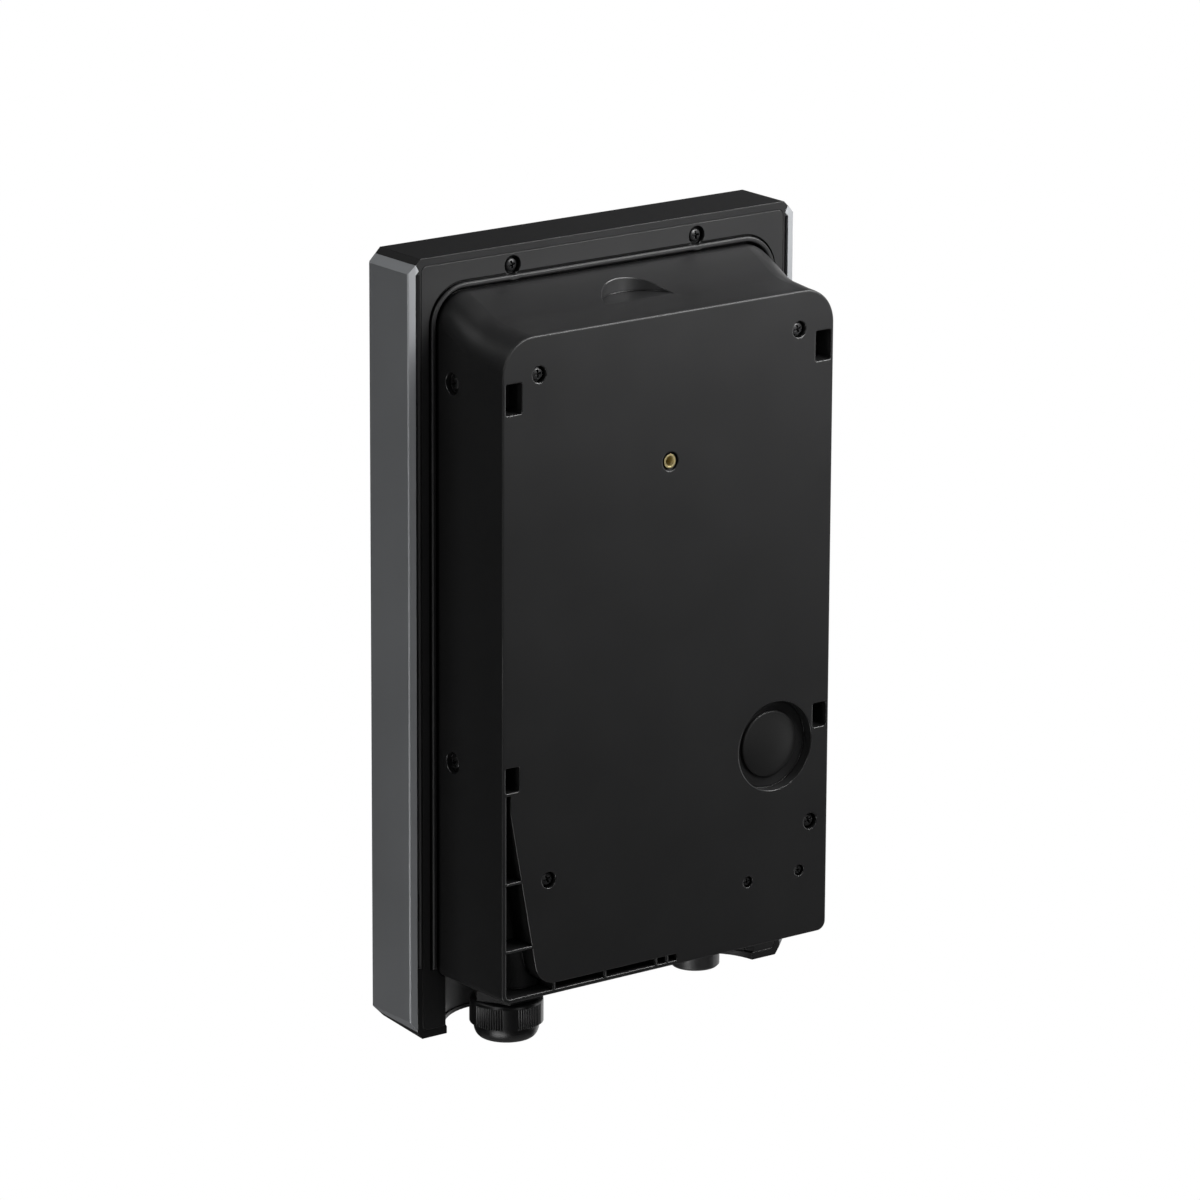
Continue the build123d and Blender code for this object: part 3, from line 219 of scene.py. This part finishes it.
# %% Lamp panels
def lamp_panel(name, place, aim, size, brightness, only_shine=False):
    """Panel of an even brightness, aimed at a point, unseen by the camera. It can make highlights only."""
    width, height = size
    data = bpy.data.lights.new(name, "AREA")
    data.shape = "RECTANGLE"
    data.size = width
    data.size_y = height
    data.energy = brightness * math.pi * width * height
    lamp = bpy.data.objects.new(name, data)
    bpy.context.collection.objects.link(lamp)
    lamp.location = place
    lamp.rotation_mode = "QUATERNION"
    lamp.rotation_quaternion = (Vector(aim) - Vector(place)).to_track_quat("-Z", "Y")
    lamp.visible_camera = False
    lamp.visible_diffuse = not only_shine
    print(name, "at", place, "power", round(data.energy, 2))


charger_middle = (0.0, 0.0, 0.0)
gland_middle = (0.064, -0.023, -0.15)
lamp_panel("key_box", (-0.22, 0.40, 0.36), aim=(-0.295, 0.0, 0.56), size=(0.32, 0.32), brightness=16.2)
lamp_panel("edge_panel", (-0.72, 0.28, 0.68), aim=charger_middle, size=(0.36, 0.5), brightness=10.5)
lamp_panel("top_panel", (-0.15, -0.03, 1.25), aim=(-0.14, 0.0, 0.0), size=(1.0, 0.45), brightness=0.5)
lamp_panel("corner_panel", (0.90, -0.58, 1.10), aim=(0.06, -0.03, 0.11), size=(0.7, 0.5), brightness=1.4)
lamp_panel("right_strip", (-1.05, 0.38, 0.05), aim=(0.0, 0.0, 0.05), size=(0.30, 1.3), brightness=1.3)
lamp_panel("left_strip", (1.12, 0.40, -0.20), aim=(0.0, 0.0, -0.2), size=(0.13, 1.7), brightness=2.3)
lamp_panel(
    "low_card", (0.492, 0.177, -0.52), aim=gland_middle, size=(0.46, 0.24), brightness=2.6, only_shine=True
)
lamp_panel(
    "high_card", (0.65, 0.25, 0.47), aim=gland_middle, size=(0.40, 0.40), brightness=2.2, only_shine=True
)
lamp_panel("rail_panel", (-0.10, 1.5, 0.15), aim=charger_middle, size=(0.4, 0.9), brightness=1.0)

# %% [markdown]
# ## Floor
# The charger hangs on a wall in use, so here it floats above a sheet of pale paper, which is part of the
# stage. A floor close below would throw light up under the charger, so this one lies a metre down. It
# glows for camera rays only: in the picture it melts into the white background, and it adds no light of
# its own.

# %% Pale paper floor
floor_drop = 1.0
floor_reach = 1.1
floor_height = cad_box[0].z - floor_drop
corners = ((-1, -1), (1, -1), (1, 1), (-1, 1))
floor_mesh = bpy.data.meshes.new("floor")
floor_points = [(x * floor_reach, y * floor_reach, floor_height) for x, y in corners]
floor_mesh.from_pydata(floor_points, [], [(0, 1, 2, 3)])
floor = bpy.data.objects.new("floor", floor_mesh)
bpy.context.collection.objects.link(floor)
print("floor at", round(floor_height, 3))

# %% Paper of the floor
paper_glow = 0.95
floor_paper = bpy.data.materials.new("floor_paper")
floor_paper.use_nodes = True
paper_tree = floor_paper.node_tree
paper = paper_tree.nodes["Principled BSDF"]
paper.inputs["Base Color"].default_value = (0.9, 0.9, 0.9, 1)
paper.inputs["Roughness"].default_value = 0.9
paper.inputs["Emission Color"].default_value = (1, 1, 1, 1)
paper_ray = paper_tree.nodes.new("ShaderNodeLightPath")
paper_seen = two_values(paper_tree, "MULTIPLY", paper_ray.outputs["Is Camera Ray"], paper_glow)
paper_tree.links.new(paper_seen, paper.inputs["Emission Strength"])
floor_mesh.materials.append(floor_paper)
print("paper glows for the camera at", paper_glow)

# %% [markdown]
# ## Finishes
# The housing is moulded in black plastic, and its mould is spark-eroded, which leaves a fine grain on
# the part. A picture of such a surface could be wrapped round it, but noise needs no picture and has no
# seams. A fine noise drives a bump, and a slow noise shifts tone and gloss a little, so that no surface
# is one flat colour. A Bevel node rounds the shading at sharp edges. Where it turns the surface, the
# edge is also smoother than the grained face, because a mould's edges are polished by hand, and that is
# what draws the bright edge lines. Narrow gaps, such as the joint round the housing, get painted shade:
# an Ambient Occlusion node finds them, and colour and shine are taken back there, so that they look
# almost black.

# %% Edges of a finish, and painted shade in gaps
bevel_samples = 8
flat_way = 0.995
edge_way = 0.90
# Painted shade in gaps: occlusion samples, where a gap counts as closed or open, and the share of colour left
# in it.
gap_samples = 8
gap_closed = 0.45
gap_open = 0.80
painted_shade_rest = 0.10


def edge_finder(tree, radius):
    """Normal that is rounded at edges, and a share that rises from 0 on a face to 1 on an edge."""
    rounded = tree.nodes.new("ShaderNodeBevel")
    rounded.samples = bevel_samples
    rounded.inputs["Radius"].default_value = radius
    shape = tree.nodes.new("ShaderNodeNewGeometry")
    turned = shared_way(tree, rounded.outputs["Normal"], shape.outputs["Normal"])
    return rounded.outputs["Normal"], rescaled(tree, turned, flat_way, edge_way, 0.0, 1.0)


def gap_shade_share(tree, width):
    """Painted shade: a share that falls from 1 in the open to a small rest inside gaps about as narrow as a
    width.
    """
    covered = tree.nodes.new("ShaderNodeAmbientOcclusion")
    covered.samples = gap_samples
    covered.inputs["Distance"].default_value = width
    return rescaled(tree, covered.outputs["AO"], gap_closed, gap_open, painted_shade_rest, 1.0)


print("an edge starts", round(math.degrees(math.acos(flat_way)), 1), "degrees off its face")


# %% Noise and blends
def noise(tree, scale, detail):
    """Noise from 0 to 1 that is fixed to the piece."""
    where = tree.nodes.new("ShaderNodeTexCoord")
    node = tree.nodes.new("ShaderNodeTexNoise")
    node.inputs["Scale"].default_value = scale
    node.inputs["Detail"].default_value = detail
    tree.links.new(where.outputs["Object"], node.inputs["Vector"])
    return node.outputs["Fac"]


def mixed(tree, kind, share, first, second):
    """Blend of two values or two colours by a share."""
    node = tree.nodes.new("ShaderNodeMix")
    node.data_type = kind
    tree.links.new(share, node.inputs["Factor"])
    feed(tree, node.inputs["A"], first)
    feed(tree, node.inputs["B"], second)
    return node.outputs["Result"]


print("more node helpers: noise, mixed")

# %% Grained finish
mm = 0.001
slow_scale = 28
slow_detail = 3
fine_detail = 2
gloss_swing = 0.04
bump_strength = 0.35
# Near-black colour of the shade painted into gaps.
painted_gap_shade = (0.001, 0.001, 0.001, 1)


def grained(name, colour, roughness, grain, depth, metallic=0.0, edge=0.4 * mm, edge_rough=0.2,
            shine=0.5, edge_shine=0.5, shift=0.10, gap=0.0):
    """Material with a fine grain, a slow shift of tone, smoother edges and, if asked for, shade painted into
    gaps.
    """
    material = bpy.data.materials.new(name)
    material.use_nodes = True
    tree = material.node_tree
    slow = noise(tree, slow_scale, slow_detail)
    normal, on_edge = edge_finder(tree, edge)
    darker = (*[part * (1 - shift) for part in colour], 1)
    lighter = (*[part * (1 + shift) for part in colour], 1)
    tone = mixed(tree, "RGBA", slow, darker, lighter)
    gloss = rescaled(tree, slow, 0.0, 1.0, roughness - gloss_swing, roughness + gloss_swing)
    glint = shine if shine == edge_shine else mixed(tree, "FLOAT", on_edge, shine, edge_shine)
    # Painted shade: inside gaps the tone falls towards near-black and the shine falls with it.
    if gap > 0:
        unshaded_share = gap_shade_share(tree, gap)
        tone = mixed(tree, "RGBA", unshaded_share, painted_gap_shade, tone)
        glint = two_values(tree, "MULTIPLY", glint, unshaded_share)
    bump = tree.nodes.new("ShaderNodeBump")
    bump.inputs["Strength"].default_value = bump_strength
    bump.inputs["Distance"].default_value = depth
    tree.links.new(noise(tree, 1 / grain, fine_detail), bump.inputs["Height"])
    tree.links.new(normal, bump.inputs["Normal"])
    shader = tree.nodes["Principled BSDF"]
    shader.inputs["Metallic"].default_value = metallic
    tree.links.new(tone, shader.inputs["Base Color"])
    tree.links.new(mixed(tree, "FLOAT", on_edge, gloss, edge_rough), shader.inputs["Roughness"])
    tree.links.new(bump.outputs["Normal"], shader.inputs["Normal"])
    feed(tree, shader.inputs["Specular IOR Level"], glint)
    print("finish", name, "with", len(tree.nodes), "nodes")
    return material


# %% Finishes of the outside
# A gap width paints shade into gaps that narrow: the joint round the housing, the screws' crosses, the
# insert's bore.
mould = {"roughness": 0.42, "grain": 0.35 * mm, "depth": 0.06 * mm}
smooth = {"grain": 0.5 * mm, "depth": 0.005 * mm}
plated = {"grain": 0.2 * mm, "depth": 0.01 * mm, "edge": 0.1 * mm, "gap": 0.8 * mm}
moulded_black = (0.020, 0.020, 0.0205)
joint_gap = 1.8 * mm
housing_plastic = grained(
    "housing_plastic", moulded_black, **mould, edge=0.7 * mm, edge_rough=0.16, edge_shine=1.0, gap=joint_gap
)
plate_plastic = grained("plate_plastic", moulded_black, **mould, gap=joint_gap)
shell_plastic = grained("shell_plastic", (0.016, 0.016, 0.0165), **mould, shine=0.4)
gland_plastic = grained(
    "gland_plastic", (0.010, 0.010, 0.0105), roughness=0.30, **smooth, edge=0.15 * mm, shine=0.6
)
# A lighter grey copy of the gland plastic for the blanking plug: painted light for the light it catches.
plug_plastic_painted_light = grained("plug_plastic_painted_light", (0.08, 0.08, 0.082), roughness=0.38, **smooth, shine=1.0)
seal_rubber = grained("seal_rubber", (0.018, 0.018, 0.018), roughness=0.40, grain=0.3 * mm, depth=0.02 * mm)
rail_metal = grained(
    "rail_metal", (0.49, 0.502, 0.518), roughness=0.62, grain=0.16 * mm, depth=0.03 * mm,
    metallic=1.0, edge=0.3 * mm, shift=0.04,
)
screw_black = grained("screw_black", (0.012, 0.012, 0.0125), roughness=0.32, **plated)
# A lighter copy of the black screw finish: painted light on the heads of the back wall's screws.
screw_black_painted_light = grained("screw_black_painted_light", (0.036, 0.036, 0.037), roughness=0.36, **plated)
insert_brass = grained(
    "insert_brass", (0.80, 0.68, 0.36), roughness=0.44, grain=0.3 * mm, depth=0.01 * mm,
    metallic=1.0, edge=0.1 * mm, gap=1.5 * mm,
)

# %% Finishes of the front and the inside
panel_gloss = grained(
    "panel_gloss", (0.012, 0.012, 0.013), roughness=0.12, grain=2 * mm, depth=0.005 * mm, edge_rough=0.1
)
light_milk = grained("light_milk", (0.72, 0.74, 0.76), roughness=0.35, grain=1.0 * mm, depth=0.01 * mm)
board_green = grained("board_green", (0.02, 0.13, 0.05), roughness=0.40, grain=1.5 * mm, depth=0.05 * mm)
component_dark = grained(
    "component_dark", (0.05, 0.055, 0.065), roughness=0.45, grain=0.4 * mm, depth=0.04 * mm
)
capacitor_can = grained(
    "capacitor_can", (0.55, 0.55, 0.57), roughness=0.30, grain=0.3 * mm, depth=0.02 * mm, metallic=1.0
)

# %% [markdown]
# ## Finish of every CAD piece
# Each CAD piece says what it is made of by its material slot. Finishes could be given out piece by
# piece, but a table from slot to finish dresses all of them in one loop and forgets none. A second,
# short table holds the pieces that look different from the rest of their slot: the plate and the shell
# come from other moulds than the housing, and the blanking plug gets a lighter grey copy of the gland
# plastic, which is painted light for the light it catches.

# %% Dress the CAD pieces
finish_of_slot = {
    "housing_plastic": housing_plastic,
    "rail_aluminium": rail_metal,
    "panel_plastic": panel_gloss,
    "light_plastic": light_milk,
    "circuit_board": board_green,
    "seal_rubber": seal_rubber,
    "insert_brass": insert_brass,
    "screw_metal": screw_black,
    "gland_plastic": gland_plastic,
    "component_plastic": component_dark,
    "capacitor_can": capacitor_can,
}
finish_of_node = {
    "mid_plate": plate_plastic,
    "front_shell": shell_plastic,
    "blanking_plug": plug_plastic_painted_light,
}
for subpart in frame["record"]["subparts"]:
    mesh = frame["nodes"][subpart["node"]].data
    mesh.materials.clear()
    mesh.materials.append(finish_of_node.get(subpart["node"], finish_of_slot[subpart["material_slot"]]))

# %% [markdown]
# ## Turned and threaded pieces
# The CAD keeps screws, insert, plug and nut plain, because nothing mates with their small forms. Here
# they are made the way they are made in a workshop: a profile is turned round an axis, and what is
# pressed or cut into it afterwards, a cross recess, a thread or ribs, is added as geometry. A Screw
# modifier could turn the profiles too, but a thread or a rib changes the radius with the angle, so the
# points are worked out in loops.

# %% Piece from points and faces
sharp_angle = math.radians(35)


def new_piece(name, points, faces, finish, node, body="wallbox"):
    """Mesh piece that stands for a CAD node and moves with a body."""
    mesh = bpy.data.meshes.new(name)
    mesh.from_pydata(points, [], faces)
    shell = bmesh.new()
    shell.from_mesh(mesh)
    bmesh.ops.recalc_face_normals(shell, faces=shell.faces)
    shell.to_mesh(mesh)
    shell.free()
    mesh.shade_smooth()
    mesh.set_sharp_from_angle(angle=sharp_angle)
    mesh.materials.append(finish)
    piece = bpy.data.objects.new(name, mesh)
    bpy.context.collection.objects.link(piece)
    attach(piece, body)
    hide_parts(node)
    print(name, "replaces", node, "with", len(mesh.polygons), "faces")


print("edges are sharp from", round(math.degrees(sharp_angle)), "degrees")


# %% Turned profiles
def ring_faces(rings, around, closed):
    """Quads between rings of points. The last ring joins the first if the form is closed."""
    spans = rings if closed else rings - 1
    faces = []
    for ring in range(spans):
        low = ring * around
        high = (ring + 1) % rings * around
        for step in range(around):
            after = (step + 1) % around
            faces.append((low + step, low + after, high + after, high + step))
    return faces


def capped_faces(rings, around):
    """Quads between rings of points, and a lid on the first and the last ring."""
    last = (rings - 1) * around
    lids = [tuple(range(around)), tuple(range(last, last + around))]
    return ring_faces(rings, around, False) + lids


def turned_points(profile, around):
    """Points of a profile, as radius and height pairs, turned round Z."""
    points = []
    for radius, height in profile:
        for step in range(around):
            angle = 2 * math.pi * step / around
            points.append(Vector((radius * math.cos(angle), radius * math.sin(angle), height)))
    return points


print("faces of a capped tube of 3 rings and 8 steps:", len(capped_faces(3, 8)))

# %% [markdown]
# ## Screws
# Cross-recess pan-head screws of plated steel, black all over. Those in the back wall get a lighter grey,
# slightly rougher copy of the black finish, which is painted light for the glints on their domed heads.
# The head is upset from wire and its cross is punched, so the recess tapers towards the bottom. The
# cross could be a dark picture on the head, but a real recess catches light on its walls from every
# side. So one screw is turned per size, the cross is cut with a boolean, and copies are joined in one
# piece, because the CAD holds all screws of one kind in one node. Each copy is spun a few degrees
# further than the last, because tightened screws stop at any angle.

# %% Screw blank
screw_around = 48
crown_share = 0.42
dome_steps = 10
tip_share = 0.7
tip_start = 0.93
underside_share = 0.96
rim_start = 0.2
on_axis = 0.0001 * mm


def screw_blank(head_radius, head_height, shank_radius, shank_length):
    """Points and faces of a screw along Z without its cross. The underside of the head is at the origin."""
    crown = head_height * crown_share
    rim = head_height - crown
    profile = [(on_axis, -shank_length), (shank_radius * tip_share, -shank_length)]
    profile += [(shank_radius, -shank_length * tip_start), (shank_radius, 0.0)]
    profile += [(head_radius * underside_share, 0.0), (head_radius, rim * rim_start)]
    for step in range(dome_steps):
        turn = math.radians(90 * step / dome_steps)
        profile.append((head_radius * math.cos(turn), rim + crown * math.sin(turn)))
    profile.append((on_axis, head_height))
    return turned_points(profile, screw_around), capped_faces(len(profile), screw_around)


print("screw blank:", screw_around, "points round its axis")

# %% Cross punch
arm_share = 0.70
arm_half = 0.25
# Width as a share of the arm, and height as a share of the head's height.
punch_top = (1.05, 1.1)
punch_tip = (0.72, 0.25)
cross_corners = [
    (1, arm_half), (arm_half, arm_half), (arm_half, 1),
    (-arm_half, 1), (-arm_half, arm_half), (-1, arm_half),
    (-1, -arm_half), (-arm_half, -arm_half), (-arm_half, -1),
    (arm_half, -1), (arm_half, -arm_half), (1, -arm_half),
]


def cross_punch(head_radius, head_height):
    """Points and faces of a tapered cross that reaches from above a head down into it."""
    arm = head_radius * arm_share
    points = []
    for width, height in (punch_top, punch_tip):
        points += [Vector((x * arm * width, y * arm * width, head_height * height)) for x, y in cross_corners]
    count = len(cross_corners)
    faces = [tuple(range(count)), tuple(range(2 * count - 1, count - 1, -1))]
    faces += [(i, i + count, (i + 1) % count + count, (i + 1) % count) for i in range(count)]
    return points, faces


print("cross punch:", len(cross_corners), "corners")

# %% Punched screw
weld_distance = 0.0005 * mm


def workpiece(name, points, faces):
    """Object with welded points and faces that all look outwards, ready for a boolean."""
    mesh = bpy.data.meshes.new(name)
    mesh.from_pydata(points, [], faces)
    shell = bmesh.new()
    shell.from_mesh(mesh)
    bmesh.ops.remove_doubles(shell, verts=shell.verts, dist=weld_distance)
    bmesh.ops.recalc_face_normals(shell, faces=shell.faces)
    shell.to_mesh(mesh)
    shell.free()
    piece = bpy.data.objects.new(name, mesh)
    bpy.context.collection.objects.link(piece)
    return piece


def punched_screw(head_radius, head_height, shank_radius, shank_length):
    """Mesh of a screw with a cross cut into its head."""
    blank = workpiece("screw_blank", *screw_blank(head_radius, head_height, shank_radius, shank_length))
    punch = workpiece("cross_punch", *cross_punch(head_radius, head_height))
    cut = blank.modifiers.new("cross", "BOOLEAN")
    cut.operation = "DIFFERENCE"
    cut.solver = "EXACT"
    cut.object = punch
    bpy.context.view_layer.update()
    ready = blank.evaluated_get(bpy.context.evaluated_depsgraph_get())
    made = bpy.data.meshes.new_from_object(ready)
    bpy.data.objects.remove(blank)
    bpy.data.objects.remove(punch)
    print("screw with", len(made.polygons), "faces")
    return made


# %% All screws
first_spin = 6
spin_step = 7


def screw_set(name, node, size, places, heads, finish):
    """Copies of one screw at places, each with its head along a direction, joined in one piece."""
    made = punched_screw(**{part: length * mm for part, length in size.items()})
    points = []
    faces = []
    for number, (place, head) in enumerate(zip(places, heads)):
        spin = Quaternion((0, 0, 1), math.radians(first_spin + spin_step * number))
        turn = head.to_track_quat("Z", "Y") @ spin
        first = len(points)
        points += [turn @ vertex.co + Vector(place) * mm for vertex in made.vertices]
        faces += [tuple(first + corner for corner in polygon.vertices) for polygon in made.polygons]
    new_piece(name, points, faces, finish, node)


wall_side = Vector((0, 1, 0))
large_screw = {"head_radius": 2.6, "head_height": 1.9, "shank_radius": 1.5, "shank_length": 9.0}
small_screw = {"head_radius": 1.8, "head_height": 1.3, "shank_radius": 1.1, "shank_length": 6.5}
rear_places = [(64.6, -3.0, 120.4), (-64.6, -3.0, 120.4), (59.4, -3.0, -87.6), (-73.4, -3.0, -87.6)]
small_places = [(-68.0, -2.0, -107.8), (-41.4, -2.0, -107.8)]
plate_places = [(-45.8, -46.0, 153.5), (45.8, -46.0, 153.5)]
side_places = [(side * 79.7, -33.8, height) for side in (-1, 1) for height in (112.4, -43.1)]
side_heads = [Vector((math.copysign(1, place[0]), 0, 0)) for place in side_places]
# The back wall's screws take the lighter copy, which is painted light.
screw_set("back_screws", "rear_screws", large_screw, rear_places, [wall_side] * 4, screw_black_painted_light)
screw_set("small_back_screws", "small_rear_screws", small_screw, small_places, [wall_side] * 2, screw_black_painted_light)
screw_set("plate_screws", "mid_plate_screws", large_screw, plate_places, [wall_side] * 2, screw_black)
screw_set("side_wall_screws", "side_screws", large_screw, side_places, side_heads, screw_black)

# %% [markdown]
# ## Brass insert
# A brass sleeve, pressed hot into the plastic, with a metric thread for the locking screw. The thread
# could be cut with a boolean, which is slow and leaves slivers. It is a helix, so here the bore's radius
# swings with both height and angle: a row of pointed teeth that climbs one pitch per turn.

# %% Threaded brass insert
insert_middle = Vector((0, -0.3, 75.6))
insert_outer = 2.9
insert_bore = 2.05
insert_length = 8.7
insert_chamfer = 0.1
insert_around = 64
thread_pitch = 0.7
thread_depth = 0.36
lead_in = 0.12
lead_steps = 4
bore_steps = 120

outer_profile = [
    (insert_outer, -insert_length),
    (insert_outer, -insert_chamfer),
    (insert_outer - insert_chamfer, 0.0),
]
bore_levels = [-lead_in / lead_steps * step for step in range(lead_steps + 1)]
bore_levels += [-lead_in - (insert_length - lead_in) * step / bore_steps for step in range(1, bore_steps + 1)]
insert_points = turned_points(outer_profile, insert_around)
for level in bore_levels:
    opened = max(0.0, lead_in + level)
    for step in range(insert_around):
        angle = 2 * math.pi * step / insert_around
        phase = (level / thread_pitch - step / insert_around) % 1.0
        tooth = 1 - abs(2 * phase - 1)
        radius = max(insert_bore + thread_depth * (0.5 - tooth), insert_bore + opened)
        insert_points.append(Vector((radius * math.cos(angle), radius * math.sin(angle), level)))
face_wall = wall_side.to_track_quat("Z", "Y")
insert_points = [(face_wall @ point + insert_middle) * mm for point in insert_points]
insert_faces = ring_faces(len(outer_profile) + len(bore_levels), insert_around, True)
new_piece("brass_insert", insert_points, insert_faces, insert_brass, "threaded_insert")

# %% [markdown]
# ## Rubber plug
# The unused cable entry is shut with a soft plug. Its face is a shallow dome with a small round edge,
# and behind the wall a conical lip holds it. A squashed sphere would have no such edge, so the plug is
# one turned profile, with the dome's radius worked out from its width and its crown.


# %% Domed rubber plug
def arc(centre, radius, start, end, steps):
    """Points of an arc as radius and height pairs, with angles in degrees."""
    turns = [math.radians(start + (end - start) * step / steps) for step in range(steps + 1)]
    return [(centre[0] + radius * math.cos(turn), centre[1] + radius * math.sin(turn)) for turn in turns]


plug_middle = Vector((-54.7, 0.0, -52.2))
plug_radius = 13.85
plug_rim = -3.8
plug_crown = 1.5
plug_floor = -5.0
plug_end = -8.2
plug_around = 128
edge_round = 0.35
edge_cut = 0.1
neck_radius = 9.9
lip_level = -6.8
lip_radius = 11.2
lip_end_radius = 8.8
near_axis = 0.001
near_upright = 89.999
crown_steps = 24

dome_radius = (plug_radius ** 2 + plug_crown ** 2) / (2 * plug_crown)
dome_middle = plug_rim + plug_crown - dome_radius
dome_edge = math.degrees(math.acos((plug_radius - edge_round) / dome_radius))
plug_profile = arc((0, dome_middle), dome_radius, near_upright, dome_edge, crown_steps)
plug_profile += [(plug_radius - edge_cut, plug_rim - edge_cut), (plug_radius, plug_rim - edge_round)]
plug_profile += [(plug_radius, plug_floor), (neck_radius, plug_floor), (neck_radius, lip_level)]
plug_profile += [(lip_radius, lip_level), (lip_end_radius, plug_end), (near_axis, plug_end)]
plug_points = [(face_wall @ point + plug_middle) * mm for point in turned_points(plug_profile, plug_around)]
plug_faces = capped_faces(len(plug_profile), plug_around)
new_piece("domed_plug", plug_points, plug_faces, seal_rubber, "rear_entry_plug")

# %% [markdown]
# ## Gland nut
# A moulded nylon nut that squeezes the seal round the cable. Fingers grip its band on five groups of
# fine ribs, with a smooth pad between two groups. Below the band it closes in a glossy dome. The ribs
# could be a bump in the finish, but then the outline would stay smooth. So they are geometry: the band's
# radius swings with the angle inside a group and is even on a pad.

# %% Ribs of the nut's band
band_crest = 15.0
groove_depth = 0.62
groove_power = 0.45
rib_step = 4.2
ribs_in_group = 12
group_step = 72.0
first_group = 24.0


def band_radius(angle, share):
    """Radius of the band at an angle in degrees, with the grooves cut to a share of their depth."""
    off_middle = (angle - first_group + group_step / 2) % group_step - group_step / 2
    if abs(off_middle) > rib_step * ribs_in_group / 2:
        return band_crest
    wave = abs(math.cos(math.pi * (off_middle / rib_step)))
    return band_crest - share * groove_depth * (1 - wave ** groove_power)


print("ribs on the nut:", round(360 / group_step) * ribs_in_group)

# %% Profile of the nut
nut_top = -5.3
nut_foot = -22.3
band_foot = -15.9
shoulder_round = 1.7
shoulder_middle = 13.25
shoulder_inner = 13.2
groove_start = nut_top - 1.8
groove_full = nut_top - 2.2
groove_end = band_foot + 0.35
groove_last = band_foot + 0.08
groove_last_share = 0.8
step_radius = 14.2
dome_outer = 13.4
dome_inner = 10.0
dome_round = 3.4
dome_start = band_foot - 0.6
dome_drop = 5.8
nut_dome_steps = 16
mouth_radius = 9.2
mouth_edge = 0.1
mouth_edge_rise = 0.05
mouth_start = 0.2
mouth_end = 2.2
seat_radius = 11.68
seat_foot = -18.4

shoulder = [(shoulder_inner, nut_top)]
shoulder += arc((shoulder_middle, nut_top - shoulder_round), shoulder_round, start=85, end=4, steps=10)
groove_shares = [(groove_start, 0), (groove_full, 1), (groove_end, 1), (groove_last, groove_last_share)]
nut_dome = [(step_radius, band_foot), (dome_outer, band_foot), (dome_outer, dome_start)]
for step in range(1, nut_dome_steps + 1):
    turn = math.radians(90 * step / nut_dome_steps)
    nut_dome.append((dome_inner + dome_round * math.cos(turn), dome_start - dome_drop * math.sin(turn)))
mouth = [(mouth_radius + mouth_edge, nut_foot + mouth_edge_rise)]
mouth += [(mouth_radius, nut_foot + rise) for rise in (mouth_start, mouth_end)]
seat = [(seat_radius, seat_foot), (seat_radius, nut_top)]
print("nut from", nut_top, "to", nut_foot, "mm, dome ends at", round(nut_dome[-1][1], 2))

# %% Ribbed gland nut
nut_middle = Vector((63.5, -23.1, -136.0))
nut_around = 1080


def nut_ring(level, radius_at):
    """Points of one ring of the nut, with a radius that may change with the angle in degrees."""
    points = []
    for step in range(nut_around):
        degrees = 360 * step / nut_around
        turn = math.radians(degrees)
        reach = radius_at(degrees)
        points.append((Vector((reach * math.cos(turn), reach * math.sin(turn), level)) + nut_middle) * mm)
    return points


nut_rings = [nut_ring(level, lambda degrees: radius) for radius, level in shoulder]
nut_rings += [nut_ring(level, lambda degrees: band_radius(degrees, share)) for level, share in groove_shares]
nut_rings += [nut_ring(level, lambda degrees: radius) for radius, level in nut_dome + mouth + seat]
nut_points = [point for ring in nut_rings for point in ring]
nut_faces = ring_faces(len(nut_rings), nut_around, True)
new_piece("ribbed_nut", nut_points, nut_faces, gland_plastic, "gland_nut", body="gland_nut")
